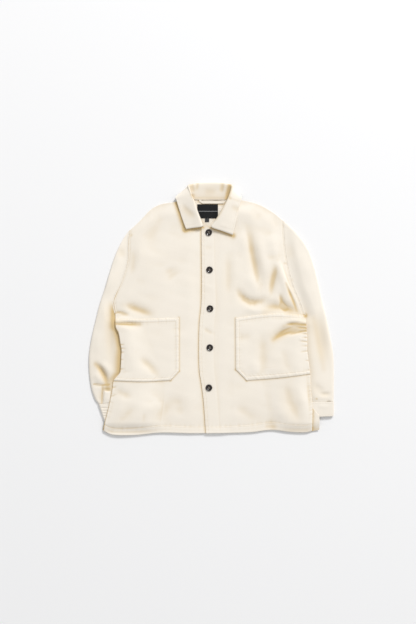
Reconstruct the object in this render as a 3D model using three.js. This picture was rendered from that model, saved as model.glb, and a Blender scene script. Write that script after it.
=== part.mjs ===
// A button-through chore jacket in heavy cotton, lying on its back with the fronts up.
// Millimetres. +X is the wearer's left, +Y runs from hem to collar, +Z is up.
import * as THREE from "three";

// Cloth
const CLOTH = 1.6; // one layer of the canvas, with what its turnings add
const SEAM_GAP = 0.3; // between pieces that are sewn to each other
const LAP = 0.5; // between pieces that only lie on each other

// Body
const CENTRE_EDGE_UNDER = 18; // where the right front ends, under the left one
const FRONT_PUFF = 2.4; // how far the fronts stand off the back, away from the seams
const EDGE_EASE = 42; // width over which a front comes down to its side seam
const HEM_Y = -372;
const HEM_DEPTH = 21;
const HEM_TURN = 0.8; // what the turned-up hem adds to the cloth
const HEM_LIE = 0.35; // share of its puff that a front keeps at the hem
const HEM_EASE = 60; // it has all of it this far above the hem
const NECK_FRONT_Y = 243; // where the fronts meet under the collar
const VENT_TOP_RIGHT = -309; // where the side seams end and the vents begin
const VENT_TOP_LEFT = -297;

// Sleeves and cuffs
const SLEEVE_HEIGHT = 7; // both layers of a flattened sleeve
const SLEEVE_EDGE = 8; // how far in from a folded edge the sleeve reaches its height
const CUFF_HEIGHT = 8.2;
const CUFF_CLOTH = 2.3;
const TUCK_EASE = 38; // the back comes down to the floor over this width beside a sleeve
const CUFF_START = -240; // y at which the back begins to climb from a sleeve to its cuff
const CUFF_CLIMB = 40;

// Pockets
const POCKET_CLOTH = 1.4;
const POCKET_RIM = 0.7; // the turned and stitched rim stands this much higher

// Collar
const COLLAR_CLOTH = 2.2;
const COLLAR_ROLL = 4.2; // radius of the roll, to the middle of the cloth
const COLLAR_BED = 3.2; // the back lies this high over the part of the collar folded behind it
const BED_START = 238; // y at which the back begins to climb over it
const BED_CLIMB = 60;
const BED_HALF_WIDTH = 160;
const BED_SIDE = 55; // width over which the back comes down again on each side

// Trim
const BUTTON_RADIUS = 10;
const BUTTON_HEIGHT = 3.4;
const BUTTON_SEAT = 6; // a button rests on the cloth this far out from its middle
const LABEL_CLOTH = 1;
const LOOP_CLOTH = 1.4;
// Two opposite corners of each strip at the back of the neck, x and y
const HANGER_LOOP = { low: [-37, 313.8], high: [20, 322] };
const NECK_LABEL = { low: [-42, 270.5], high: [20, 312.5] };
const SIZE_TAB = { low: [-19, 258], high: [-6.5, 274] };

// Side edges of the body, from the hem to the underarm: height along the jacket, then the
// edge of the fronts on each side
const SIDE_RIGHT = [
  // y, x
  [-366, -323],
  [-333, -317],
  [-309, -311],
  [-279, -304],
  [-243, -297],
  [-213, -293],
  [-189, -272],
  [-123, -269],
  [-69, -278],
  [-57, -286],
  [-15, -289],
];
const SIDE_LEFT = [
  // y, x
  [-366, 301.5],
  [-297, 302.5],
  [-276, 301.5],
  [-237, 297.5],
  [-195, 296],
  [-171, 293],
  [-126, 287],
  [-93, 286.8],
  [-48, 284],
  [-20, 282],
];
// Armhole seams, from the underarm to the shoulder
const ARMHOLE_RIGHT = [
  // x, y
  [-289, -15],
  [-294, 22],
  [-271, 78],
  [-252, 141],
  [-249, 207],
  [-245, 234],
];
const ARMHOLE_LEFT = [
  // x, y
  [282, -20],
  [265, 25],
  [241.5, 85],
  [226, 160],
  [219, 225],
  [218, 261],
];
// Shoulder lines, from the armhole to the neck
const SHOULDER_RIGHT = [
  // x, y
  [-245, 234],
  [-214, 263],
  [-180, 298],
  [-152, 312.5],
  [-108, 320],
  [-86, 327],
];
const SHOULDER_LEFT = [
  // x, y
  [218, 261],
  [185, 288],
  [152, 307.5],
  [125, 317.5],
  [90, 325],
  [80, 328],
];
// The neckline of each front, from the centre edge to the shoulder
const NECKLINE_RIGHT = [
  // x, y
  [18, 243],
  [-22, 245],
  [-42, 262],
  [-62, 285],
  [-77, 308],
  [-86, 327],
];
const NECKLINE_LEFT = [
  // x, y
  [-29.7, 245],
  [2, 245],
  [28, 262],
  [50, 289],
  [68, 312],
  [80, 328],
];
const BACK_NECK = [
  // x, y
  [-86, 327],
  [-45, 325],
  [0, 324.5],
  [45, 325.5],
  [80, 328],
];
// The hems, from the wearer's right to left
const HEM_BACK = [
  // x, y
  [-325, -363],
  [-298, -376],
  [-232, -378],
  [-150, -371],
  [-16, -373],
  [119, -370],
  [182, -363.5],
  [236, -369],
  [284, -369],
  [323, -363],
];
const HEM_FRONT_RIGHT = [
  // x, y
  [-323, -366],
  [-298, -376.5],
  [-232, -378.5],
  [-150, -371],
  [-60, -373],
  [18, -372],
];
const HEM_FRONT_LEFT = [
  // x, y
  [-16, -373],
  [60, -372],
  [119, -369.6],
  [182, -362.6],
  [236, -369],
  [284, -370],
  [301.5, -366],
];
// The lapping edge of the left front, from hem to neck
const PLACKET = [
  // x, y
  [-16, -373],
  [-24, -267],
  [-30, -222],
  [-35.5, -183],
  [-35.5, -48],
  [-29.5, 18],
  [-29.7, 245],
];
// The vent flap of the back, from the hem to the top of the vent
const VENT_LEFT = [
  // x, y
  [323, -363],
  [322, -322],
  [302.5, -297],
];
const VENT_RIGHT = [
  // x, y
  [-325, -363],
  [-318.5, -336],
  [-311, -309],
];

// Folds of the body: a soft ridge or trough between two points
const FOLDS = [
  // from x, y, to x, y, width, height
  [50, 175, 52, 20, 16, -1.5],
  [112, 250, 132, 150, 15, -1.8],
  [132, 150, 157, 48, 15, -2],
  [150, 230, 172, 120, 22, 2.2],
  [86, 69, 138, 23, 13, -2],
  [138, 23, 178, 36, 13, -2],
  [100, 92, 150, 48, 22, 2.6],
  [198, 129, 183, 54, 16, -2],
  [212, 140, 236, 70, 14, 3.2],
  [205, 120, 224, 66, 10, -2],
  [240, 62, 262, -2, 12, 3.4],
  [226, 66, 254, -8, 9, -2.2],
  [195, -90, 262, -48, 20, -2.2],
  [200, -120, 284, -78, 18, 2.6],
  [215, -50, 283, -40, 12, 2.4],
  [170, -100, 160, -190, 16, -1.4],
  [218, -237, 272, -347, 16, -2.2],
  [245, -225, 300, -320, 20, 2.4],
  [83, -297, 131, -333, 20, -1.6],
  [-157, 273, -187, 222, 18, -1.6],
  [-120, 108, -138, 94, 22, -1.4],
  [-240, 8, -197, -14, 16, -1.6],
  [-280, -48, -193, -35, 12, -1.6],
  [-212, -147, -162, -202, 18, -1.8],
  [-133, -273, -172, -333, 20, -1.8],
  [-110, -262, -148, -330, 24, 1.6],
  [-284, -250, -225, -262, 18, -1.2],
  [-286, -340, -240, -352, 16, -1.4],
];
// Folds of the sleeves' upper layer, in the same columns
const SLEEVE_FOLDS = [
  [315, -6, 328, -81, 14, -1.8],
  [328, -81, 341, -183, 15, -1.8],
  [345, 20, 352, -120, 14, 1.2],
  [227, 189, 240, 140, 16, -1.2],
  [-345, -162, -316, -197, 10, -2],
  [-316, -197, -307, -228, 9, -2],
  [-352, -190, -325, -225, 14, 2.2],
  [-330, -215, -350, -226, 9, -1.2],
  [-286, -10, -300, -150, 14, -1.6],
  [-272, 176, -265, 158, 14, -1.4],
];

// Rows of a sleeve from the armhole to the cuff: its inner edge, then its outer edge
const SLEEVE_RIGHT_ROWS = [
  // inner x, y, outer x, y
  [-289.4, -15, -246, 235],
  [-290.5, -22, -262, 212],
  [-291.5, -29, -278, 182],
  [-292, -36, -292, 148],
  [-292.5, -43, -305, 106],
  [-292.5, -50, -319, 60],
  [-292, -60, -334, 14],
  [-286, -78, -348, -42],
  [-268, -106, -359, -90],
  [-247, -140, -366, -140],
  [-231, -180, -365.5, -188],
  [-223, -226, -359.5, -235],
  [-222, -266, -349, -268],
  [-223, -276.5, -338, -284],
];
const SLEEVE_LEFT_ROWS = [
  // inner x, y, outer x, y
  [282.4, -20, 218, 261.5],
  [284.5, -27, 246, 236.5],
  [286, -34, 271, 208],
  [287.5, -41, 292, 173],
  [288.5, -48, 307.5, 127],
  [289.5, -56, 320, 76],
  [287.5, -70, 333, 19],
  [277, -88, 346, -32],
  [259, -114, 356.5, -86],
  [241, -146, 364.5, -132],
  [232, -182, 366.8, -178],
  [235, -226, 367, -226],
  [247, -266, 366.5, -262],
  [251, -279, 366, -278],
];
const CUFF_RIGHT_ROWS = [
  // inner x, y, outer x, y
  [-223, -276.9, -337.5, -284.6],
  [-215, -299, -329, -310],
  [-208, -323, -320, -336],
];
const CUFF_LEFT_ROWS = [
  // inner x, y, outer x, y
  [251, -279.4, 367.2, -278.6],
  [252, -302, 367.2, -300],
  [253, -327, 366, -321.5],
];
// The lines of each pocket, x and y: its mouth, its inner edge with the cut-off corner, and
// its bottom; the fourth side lies along the side seam between two heights
const POCKET_RIGHT = {
  seam: [-215, -31],
  top: [
    [-287, -31],
    [-190, -30.5],
    [-97, -27],
  ],
  inner: [
    [-122, -214.5],
    [-97, -187],
    [-97, -27],
  ],
  bottom: [
    [-291, -215],
    [-200, -218],
    [-122, -214.5],
  ],
};
const POCKET_LEFT = {
  seam: [-195, -19.5],
  top: [
    [72, -28.5],
    [182, -14.5],
    [281.5, -19],
  ],
  inner: [
    [105.5, -215],
    [73, -182],
    [72, -28.5],
  ],
  bottom: [
    [105.5, -215],
    [200, -207],
    [294.5, -195],
  ],
};
// Collar, from its end at the wearer's right front, round the neck, to its end at the left front
const COLLAR_ROWS = [
  // seam x, y, z; nose of the roll x, y, z; turn; outer edge x, y, z
  [-23, 248, 5.4, -26, 249, 8.2, 90, -75, 238.5, 7.4],
  [-41, 264, 5.6, -33, 269, 11, 88, -86, 268, 8.4],
  [-61, 287, 6, -42, 292, 15, 80, -95.5, 297, 8.6],
  [-75, 308, 6.4, -51, 318, 18, 65, -103, 322, 9],
  [-85, 324, 6.6, -60, 342, 19, 40, -107, 332, 8.6],
  [-84, 329, 6.4, -66, 357, 18, 0, -99, 342, 3],
  [-72, 327.5, 6.2, -68, 368, 15.5, -45, -86, 346, 1.2],
  [-52, 326.5, 6, -50, 374, 7.5, -85, -62, 332, 1.2],
  [-26, 326, 6, -26, 377, 5.5, -90, -30, 318, 1.2],
  [0, 326, 6, -1, 377.5, 5.5, -90, -1, 314, 1.2],
  [26, 326, 6, 24, 377, 5.5, -90, 28, 318, 1.2],
  [48, 326.5, 6, 46, 374, 7.5, -85, 56, 332, 1.2],
  [66, 328, 6.2, 62, 368, 15.5, -45, 76, 346, 1.2],
  [78, 330, 6.4, 60, 356, 18, 0, 86, 342, 3],
  [79, 325, 6.6, 54, 342, 19, 40, 90, 331, 8.6],
  [66, 308, 6.4, 45, 318, 18, 65, 86, 316, 9],
  [49, 287, 6, 30, 291, 15, 80, 79, 288, 8.6],
  [28, 263, 5.6, 14, 266, 11, 88, 72, 256, 8.4],
  [2, 247, 5.4, 0, 248, 8.2, 90, 64, 221, 7.4],
];
const BUTTONS = [
  // x, y, from the neck down
  [-7.8, 228],
  [-5.4, 116.4],
  [-3.9, 0.3],
  [-4.5, -116.4],
  [-7.2, -236.4],
];

const smooth = (t) => {
  const k = Math.min(1, Math.max(0, t));
  return k * k * (3 - 2 * k);
};

// The value of a two-column table at a place between its rows
function lookUp(table, key) {
  let low = 0;
  while (low < table.length - 2 && key > table[low + 1][0]) low += 1;
  const [a, b] = [table[low], table[low + 1]];
  const share = Math.min(1, Math.max(0, (key - a[0]) / (b[0] - a[0])));
  return a[1] + (b[1] - a[1]) * share;
}

// A smooth line through a few points, in equal steps; a corner is where two lines are joined
function stepsAlong(points, count) {
  const line = new THREE.CatmullRomCurve3(
    points.map(([x, y]) => new THREE.Vector3(x, y, 0)),
    false,
    "centripetal",
  );
  return line.getSpacedPoints(count).map((p) => [p.x, p.y]);
}
const join = (...lines) => lines.flatMap((line, i) => (i ? line.slice(1) : line));

// A grid of plan points that fills the space between four edge lines
function patch(bottom, top, left, right) {
  const across = bottom.length - 1;
  const up = left.length - 1;
  const grid = [];
  for (let j = 0; j <= up; j += 1) {
    const v = j / up;
    const row = [];
    for (let i = 0; i <= across; i += 1) {
      const u = i / across;
      const blend = (k) =>
        (1 - v) * bottom[i][k] + v * top[i][k] + (1 - u) * left[j][k] + u * right[j][k] -
        (1 - u) * (1 - v) * bottom[0][k] - u * (1 - v) * bottom[across][k] -
        (1 - u) * v * top[0][k] - u * v * top[across][k];
      row.push([blend(0), blend(1)]);
    }
    grid.push(row);
  }
  return grid;
}

// Height of the folds of a table at a plan point
function foldHeight(folds, x, y) {
  let height = 0;
  for (const [x1, y1, x2, y2, width, rise] of folds) {
    const length = Math.hypot(x2 - x1, y2 - y1);
    const along = ((x - x1) * (x2 - x1) + (y - y1) * (y2 - y1)) / length;
    const beyond = Math.max(0, -along, along - length);
    const aside = Math.abs((x - x1) * (y2 - y1) - (y - y1) * (x2 - x1)) / length;
    height += rise * Math.exp(-((Math.hypot(aside, beyond) / width) ** 2));
  }
  return height;
}

// Builds a mesh from points and faces
function meshOf(points, faces) {
  const geometry = new THREE.BufferGeometry();
  geometry.setAttribute("position", new THREE.Float32BufferAttribute(points.flat(), 3));
  geometry.setIndex(faces.flat());
  geometry.computeVertexNormals();
  return geometry;
}

// A closed wall between a grid of upper points and a grid of lower points
function wall(upper, lower) {
  const rows = upper.length;
  const columns = upper[0].length;
  const points = [...upper.flat(), ...lower.flat()];
  const top = (j, i) => j * columns + i;
  const under = (j, i) => rows * columns + j * columns + i;
  const faces = [];
  const quad = (a, b, c, d) => faces.push([a, b, c], [a, c, d]);
  for (let j = 0; j < rows - 1; j += 1) {
    for (let i = 0; i < columns - 1; i += 1) {
      quad(top(j, i), top(j, i + 1), top(j + 1, i + 1), top(j + 1, i));
      quad(under(j, i), under(j + 1, i), under(j + 1, i + 1), under(j, i + 1));
    }
  }
  for (let i = 0; i < columns - 1; i += 1) {
    quad(top(0, i), under(0, i), under(0, i + 1), top(0, i + 1));
    quad(top(rows - 1, i + 1), under(rows - 1, i + 1), under(rows - 1, i), top(rows - 1, i));
  }
  for (let j = 0; j < rows - 1; j += 1) {
    quad(top(j + 1, 0), under(j + 1, 0), under(j, 0), top(j, 0));
    quad(top(j, columns - 1), under(j, columns - 1), under(j + 1, columns - 1), top(j + 1, columns - 1));
  }
  return meshOf(points, faces);
}

// Highest point of finished pieces over a plan point, or -Infinity beside them
const CELL = 20;
function surfaceOf(geometries) {
  const cells = new Map();
  for (const geometry of geometries) {
    const position = geometry.getAttribute("position");
    const index = geometry.getIndex();
    for (let f = 0; f < index.count; f += 3) {
      const corners = [0, 1, 2].map((k) =>
        new THREE.Vector3().fromBufferAttribute(position, index.getX(f + k)));
      const xs = corners.map((c) => Math.floor(c.x / CELL));
      const ys = corners.map((c) => Math.floor(c.y / CELL));
      for (let cx = Math.min(...xs); cx <= Math.max(...xs); cx += 1) {
        for (let cy = Math.min(...ys); cy <= Math.max(...ys); cy += 1) {
          const key = `${cx},${cy}`;
          if (!cells.has(key)) cells.set(key, []);
          cells.get(key).push(corners);
        }
      }
    }
  }
  return (x, y) => {
    let height = -Infinity;
    for (const [a, b, c] of cells.get(`${Math.floor(x / CELL)},${Math.floor(y / CELL)}`) ?? []) {
      const area = (b.x - a.x) * (c.y - a.y) - (c.x - a.x) * (b.y - a.y);
      if (Math.abs(area) < 1e-9) continue;
      const v = ((x - a.x) * (c.y - a.y) - (c.x - a.x) * (y - a.y)) / area;
      const w = ((b.x - a.x) * (y - a.y) - (x - a.x) * (b.y - a.y)) / area;
      if (v < -1e-6 || w < -1e-6 || v + w > 1 + 1e-6) continue;
      height = Math.max(height, a.z + v * (b.z - a.z) + w * (c.z - a.z));
    }
    return height;
  };
}

// Lifts the layers of a wall together until every face of them clears what lies beneath
const SETTLE_ROUNDS = 2;
const SAMPLES = [0, 0.25, 0.5, 0.75, 1];
function settle(layers, beneath, gap) {
  for (let round = 0; round < SETTLE_ROUNDS; round += 1) {
    const lifts = layers[0].map((row) => row.map(() => 0));
    for (const grid of layers) {
      for (let j = 0; j < grid.length - 1; j += 1) {
        for (let i = 0; i < grid[0].length - 1; i += 1) {
          const [here, right, above, across] = [[j, i], [j, i + 1], [j + 1, i], [j + 1, i + 1]];
          for (const corners of [[here, right, across], [here, across, above]]) {
            const short = shortOf(corners.map(([r, c]) => grid[r][c]), beneath, gap);
            corners.forEach(([r, c]) => { lifts[r][c] = Math.max(lifts[r][c], short); });
          }
        }
      }
    }
    for (const grid of layers) {
      grid.forEach((row, j) => row.forEach((p, i) => { p[2] += lifts[j][i]; }));
    }
  }
}
function shortOf(corners, beneath, gap) {
  let short = 0;
  for (const s of SAMPLES) {
    for (const t of SAMPLES) {
      if (s + t > 1) continue;
      const weights = [1 - s - t, s, t];
      const [x, y, z] = [0, 1, 2].map((k) => corners.reduce((sum, p, n) => sum + p[k] * weights[n], 0));
      short = Math.max(short, beneath(x, y) + gap - z);
    }
  }
  return short;
}

// A flattened tube of cloth: rows of plan points from one edge to the other, a height for
// each row, and the folds of its upper layer
const ACROSS = 11;
function sleeveTube(rows, plan, height, cloth, folds) {
  const shell = (inset) => rows.map((row, k) => {
    const half = height / 2 - inset;
    const width = Math.hypot(row[2] - row[0], row[3] - row[1]);
    const ring = [];
    for (const side of [1, -1]) {
      for (let n = 0; n < ACROSS; n += 1) {
        const turn = (side > 0 ? n : ACROSS - n) / ACROSS;
        const share = (1 - Math.cos(Math.PI * turn)) / 2;
        const inner = inset + (width - 2 * inset) * share;
        const edge = Math.min(1, (Math.min(share, 1 - share) * (width - 2 * inset)) / SLEEVE_EDGE);
        const bulge = Math.sqrt(1 - (1 - edge) ** 2);
        const [x, y] = plan(k, inner / width);
        const fold = side > 0 ? foldHeight(folds, x, y) * bulge : 0;
        ring.push([x, y, height / 2 + side * half * bulge + fold]);
      }
    }
    return ring;
  });
  const outside = shell(0);
  const inside = shell(cloth);
  const size = 2 * ACROSS;
  const points = [...outside.flat(), ...inside.flat()];
  const out = (k, n) => k * size + (n % size);
  const inn = (k, n) => rows.length * size + out(k, n);
  const faces = [];
  const quad = (a, b, c, d) => faces.push([a, b, c], [a, c, d]);
  const last = rows.length - 1;
  for (let n = 0; n < size; n += 1) {
    for (let k = 0; k < last; k += 1) {
      quad(out(k, n), out(k + 1, n), out(k + 1, n + 1), out(k, n + 1));
      quad(inn(k, n), inn(k, n + 1), inn(k + 1, n + 1), inn(k + 1, n));
    }
    quad(out(0, n), out(0, n + 1), inn(0, n + 1), inn(0, n));
    quad(out(last, n), inn(last, n), inn(last, n + 1), out(last, n + 1));
  }
  const geometry = meshOf(points, faces);
  return isInsideOut(geometry) ? turned(geometry) : geometry;
}

function isInsideOut(geometry) {
  const position = geometry.getAttribute("position");
  const index = geometry.getIndex();
  let volume = 0;
  for (let f = 0; f < index.count; f += 3) {
    const [a, b, c] = [0, 1, 2].map((k) =>
      new THREE.Vector3().fromBufferAttribute(position, index.getX(f + k)));
    volume += a.dot(b.cross(c));
  }
  return volume < 0;
}

function turned(geometry) {
  const index = Array.from(geometry.getIndex().array);
  for (let f = 0; f < index.length; f += 3) [index[f], index[f + 1]] = [index[f + 1], index[f]];
  geometry.setIndex(index);
  geometry.computeVertexNormals();
  return geometry;
}

// A sleeve starts along its armhole seam and straightens over its first rows
const STRAIGHTEN = 6;
function sleevePlan(rows, armhole) {
  const seam = new THREE.CatmullRomCurve3(
    armhole.map(([x, y]) => new THREE.Vector3(x, y, 0)),
    false,
    "centripetal",
  );
  const outward = Math.sign(armhole[0][0]);
  return (k, share) => {
    const [x1, y1, x2, y2] = rows[k];
    const curve = seam.getPointAt(share);
    const chordX = armhole[0][0] + (armhole.at(-1)[0] - armhole[0][0]) * share;
    const chordY = armhole[0][1] + (armhole.at(-1)[1] - armhole[0][1]) * share;
    const bow = Math.max(0, 1 - k / STRAIGHTEN) ** 1.5;
    return [
      x1 + (x2 - x1) * share + bow * (curve.x - chordX + outward * SEAM_GAP),
      y1 + (y2 - y1) * share + bow * (curve.y - chordY),
    ];
  };
}
const straightPlan = (rows) => (k, share) => {
  const [x1, y1, x2, y2] = rows[k];
  return [x1 + (x2 - x1) * share, y1 + (y2 - y1) * share];
};

// How far in a plan point is from the side of the body, and from the shoulder above it
const sideEdge = (x) => (x < 0
  ? [...SIDE_RIGHT, ...ARMHOLE_RIGHT.slice(1).map(([px, py]) => [py, px])]
  : [...SIDE_LEFT, ...ARMHOLE_LEFT.slice(1).map(([px, py]) => [py, px])]);
const insideSide = (x, y) => Math.abs(lookUp(sideEdge(x), y)) - Math.abs(x);
const SHOULDER_TABLES = [SHOULDER_RIGHT, [...SHOULDER_LEFT].reverse()];
const insideShoulder = (x, y) => lookUp(SHOULDER_TABLES[x < 0 ? 0 : 1], x) - y;

// How far the tucked sleeves and the folded collar lift the back off the floor
const TUCK_START = -18; // y at which the back begins to climb over the sleeves
const TUCK_FULL = -62;
const TUCK_END = -338; // past the cuffs it comes down again
const TUCK_DOWN = -372;
const innerEdge = (rows) => rows.map(([x, y]) => [y, x]).reverse();
const TUCKED = [
  innerEdge([...SLEEVE_RIGHT_ROWS, ...CUFF_RIGHT_ROWS.slice(1)]),
  innerEdge([...SLEEVE_LEFT_ROWS, ...CUFF_LEFT_ROWS.slice(1)]),
];
function backLift(x, y) {
  const inner = Math.abs(lookUp(TUCKED[x < 0 ? 0 : 1], y));
  const over = 1 - smooth((inner - Math.abs(x)) / TUCK_EASE);
  const climb = smooth((TUCK_START - y) / (TUCK_START - TUCK_FULL));
  const fall = smooth((y - TUCK_DOWN) / (TUCK_END - TUCK_DOWN));
  const cuffs = smooth((CUFF_START - y) / CUFF_CLIMB);
  const sleeve = (SLEEVE_HEIGHT + (CUFF_HEIGHT - SLEEVE_HEIGHT) * cuffs + LAP) * over * climb * fall;
  const bed = smooth((y - BED_START) / BED_CLIMB) * smooth((BED_HALF_WIDTH - Math.abs(x)) / BED_SIDE);
  return Math.max(sleeve, COLLAR_BED * bed);
}
const HEM_STEP = 6; // the turned-up hem thins out over this width
const hemTurn = (y) => HEM_TURN * (1 - smooth((y - HEM_Y - HEM_DEPTH) / HEM_STEP));

// Height of the underside of the fronts
const PLACKET_BAND_IN = 26; // the left front lies over the right one up to here
const PLACKET_BAND_OUT = 62;
const FLAT_HALF_WIDTH = 70; // the buttoned middle lies flatter than the rest
const FLAT_EASE = 60;
const FLATTENING = 0.75;
function frontUnder(x, y, laps) {
  const side = smooth(insideSide(x, y) / EDGE_EASE);
  const shoulder = smooth(insideShoulder(x, y) / EDGE_EASE);
  const hem = HEM_LIE + (1 - HEM_LIE) * smooth((y - HEM_Y) / HEM_EASE);
  const puff = (FRONT_PUFF + foldHeight(FOLDS, x, y)) * side * shoulder * hem;
  const band = laps ? 1 - smooth((x - PLACKET_BAND_IN) / (PLACKET_BAND_OUT - PLACKET_BAND_IN)) : 0;
  const flat = 1 - FLATTENING * smooth((FLAT_HALF_WIDTH - Math.abs(x)) / FLAT_EASE);
  return backLift(x, y) + CLOTH + SEAM_GAP + Math.max(0, puff) * flat + band * (CLOTH + LAP);
}

// Steps along each edge: the fronts and the back share the steps of their sides
const VENT_STEPS = 3;
const SIDE_STEPS = 13;
const ARMHOLE_STEPS = 10;
const ROWS = VENT_STEPS + SIDE_STEPS + ARMHOLE_STEPS;
const NECK_STEPS = 8;
const SHOULDER_STEPS = 8;
const flip = ([y, x]) => [x, y];
const below = (table, y) => table.filter((row) => row[0] <= y).map(flip);
const above = (table, y) => table.filter((row) => row[0] >= y).map(flip);
const frontSideRight = join(
  stepsAlong(below(SIDE_RIGHT, VENT_TOP_RIGHT), VENT_STEPS),
  stepsAlong(above(SIDE_RIGHT, VENT_TOP_RIGHT), SIDE_STEPS),
  stepsAlong(ARMHOLE_RIGHT, ARMHOLE_STEPS),
);
const frontSideLeft = join(
  stepsAlong(below(SIDE_LEFT, VENT_TOP_LEFT), VENT_STEPS),
  stepsAlong(above(SIDE_LEFT, VENT_TOP_LEFT), SIDE_STEPS),
  stepsAlong(ARMHOLE_LEFT, ARMHOLE_STEPS),
);
const backSideRight = join(
  stepsAlong(VENT_RIGHT, VENT_STEPS),
  stepsAlong(above(SIDE_RIGHT, VENT_TOP_RIGHT), SIDE_STEPS),
  stepsAlong(ARMHOLE_RIGHT, ARMHOLE_STEPS),
);
const backSideLeft = join(
  stepsAlong(VENT_LEFT, VENT_STEPS),
  stepsAlong(above(SIDE_LEFT, VENT_TOP_LEFT), SIDE_STEPS),
  stepsAlong(ARMHOLE_LEFT, ARMHOLE_STEPS),
);

function backPanel(sleeves) {
  const columns = 2 * SHOULDER_STEPS + NECK_STEPS;
  const grid = patch(
    stepsAlong(HEM_BACK, columns),
    join(
      stepsAlong(SHOULDER_RIGHT, SHOULDER_STEPS),
      stepsAlong(BACK_NECK, NECK_STEPS),
      stepsAlong([...SHOULDER_LEFT].reverse(), SHOULDER_STEPS),
    ),
    backSideRight,
    backSideLeft,
  );
  const lower = grid.map((row) => row.map(([x, y]) => [x, y, backLift(x, y)]));
  settle([lower], sleeves, SEAM_GAP);
  const upper = lower.map((row) => row.map(([x, y, z]) => [x, y, z + CLOTH]));
  return wall(upper, lower);
}

function frontRight(beneath) {
  const grid = patch(
    stepsAlong(HEM_FRONT_RIGHT, SHOULDER_STEPS + NECK_STEPS),
    join(
      stepsAlong(SHOULDER_RIGHT, SHOULDER_STEPS),
      stepsAlong([...NECKLINE_RIGHT].reverse(), NECK_STEPS),
    ),
    frontSideRight,
    stepsAlong([[CENTRE_EDGE_UNDER, HEM_Y], [CENTRE_EDGE_UNDER, NECK_FRONT_Y]], ROWS),
  );
  const lower = grid.map((row) => row.map(([x, y]) => [x, y, frontUnder(x, y, false)]));
  settle([lower], beneath, SEAM_GAP);
  const upper = lower.map((row) => row.map(([x, y, z]) => [x, y, z + CLOTH + hemTurn(y)]));
  return wall(upper, lower);
}

function frontLeft(beneath) {
  const grid = patch(
    stepsAlong(HEM_FRONT_LEFT, SHOULDER_STEPS + NECK_STEPS),
    join(
      stepsAlong(NECKLINE_LEFT, NECK_STEPS),
      stepsAlong([...SHOULDER_LEFT].reverse(), SHOULDER_STEPS),
    ),
    stepsAlong(PLACKET, ROWS),
    frontSideLeft,
  );
  const lower = grid.map((row) => row.map(([x, y]) => [x, y, frontUnder(x, y, true)]));
  settle([lower], beneath, SEAM_GAP);
  const upper = lower.map((row) => row.map(([x, y, z]) => [x, y, z + CLOTH + hemTurn(y)]));
  return wall(upper, lower);
}

// A patch pocket lies on its front; its rim is the turned and stitched edge
const POCKET_COLUMNS = 12;
const POCKET_ROWS = 11;
function pocket(shape, side, front, onLeft) {
  const innerEdgeLine = join(
    stepsAlong(shape.inner.slice(0, 2), 2),
    stepsAlong(shape.inner.slice(1), POCKET_ROWS - 2),
  );
  const outerEdgeLine = stepsAlong(side, POCKET_ROWS);
  const grid = patch(
    stepsAlong(shape.bottom, POCKET_COLUMNS),
    stepsAlong(shape.top, POCKET_COLUMNS),
    onLeft ? innerEdgeLine : outerEdgeLine,
    onLeft ? outerEdgeLine : innerEdgeLine,
  );
  const lower = grid.map((row) => row.map(([x, y]) =>
    [x, y, Math.max(front(x, y), frontUnder(x, y, onLeft) + CLOTH) + SEAM_GAP]));
  settle([lower], front, SEAM_GAP);
  const upper = lower.map((row, j) => row.map(([x, y, z], i) => {
    const inner = onLeft ? i : POCKET_COLUMNS - i;
    const rim = j < 1 || j > POCKET_ROWS - 2 || inner < 1 ? POCKET_RIM : 0;
    return [x, y, z + POCKET_CLOTH + rim];
  }));
  return wall(upper, lower);
}
const SIDE_INSET = 0.8; // a pocket ends this far in from the side seam
const pocketSide = (table, [low, high]) => [low, (low + high) / 2, high].map((y) => {
  const x = lookUp(table, y);
  return [x - Math.sign(x) * SIDE_INSET, y];
});

// The collar: a band from the neck seam up the stand, over the roll and down the fall
const FALL_STEPS = 5;
const STAND_STEPS = 3;
const ROLL_STEPS = 5;
const ROWS_BETWEEN = 2;
const NECK_CENTRE = new THREE.Vector3(-5, 285, 0);
function collarLine([sx, sy, sz, nx, ny, nz, turn, ox, oy, oz]) {
  const outward = new THREE.Vector3(nx, ny, 0).sub(NECK_CENTRE).normalize();
  const up = new THREE.Vector3(0, 0, 1);
  const angle = THREE.MathUtils.degToRad(turn);
  const across = outward.clone().multiplyScalar(Math.cos(angle)).addScaledVector(up, Math.sin(angle));
  const bulge = outward.clone().multiplyScalar(-Math.sin(angle)).addScaledVector(up, Math.cos(angle));
  const nose = new THREE.Vector3(nx, ny, nz);
  const centre = nose.clone().addScaledVector(bulge, -COLLAR_ROLL);
  const seam = new THREE.Vector3(sx, sy, sz);
  const outer = new THREE.Vector3(ox, oy, oz);
  const into = centre.clone().addScaledVector(across, -COLLAR_ROLL);
  const outOf = centre.clone().addScaledVector(across, COLLAR_ROLL);
  const stand = seam.clone().lerp(into, 0.5);
  const fall = outOf.clone().lerp(outer, 0.5);
  const roll = [0.25, 0.5, 0.75].map((t) => {
    const a = Math.PI * t;
    return centre.clone()
      .addScaledVector(across, -COLLAR_ROLL * Math.cos(a))
      .addScaledVector(bulge, COLLAR_ROLL * Math.sin(a));
  });
  return [seam, stand, into, ...roll, outOf, fall, outer];
}
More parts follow.
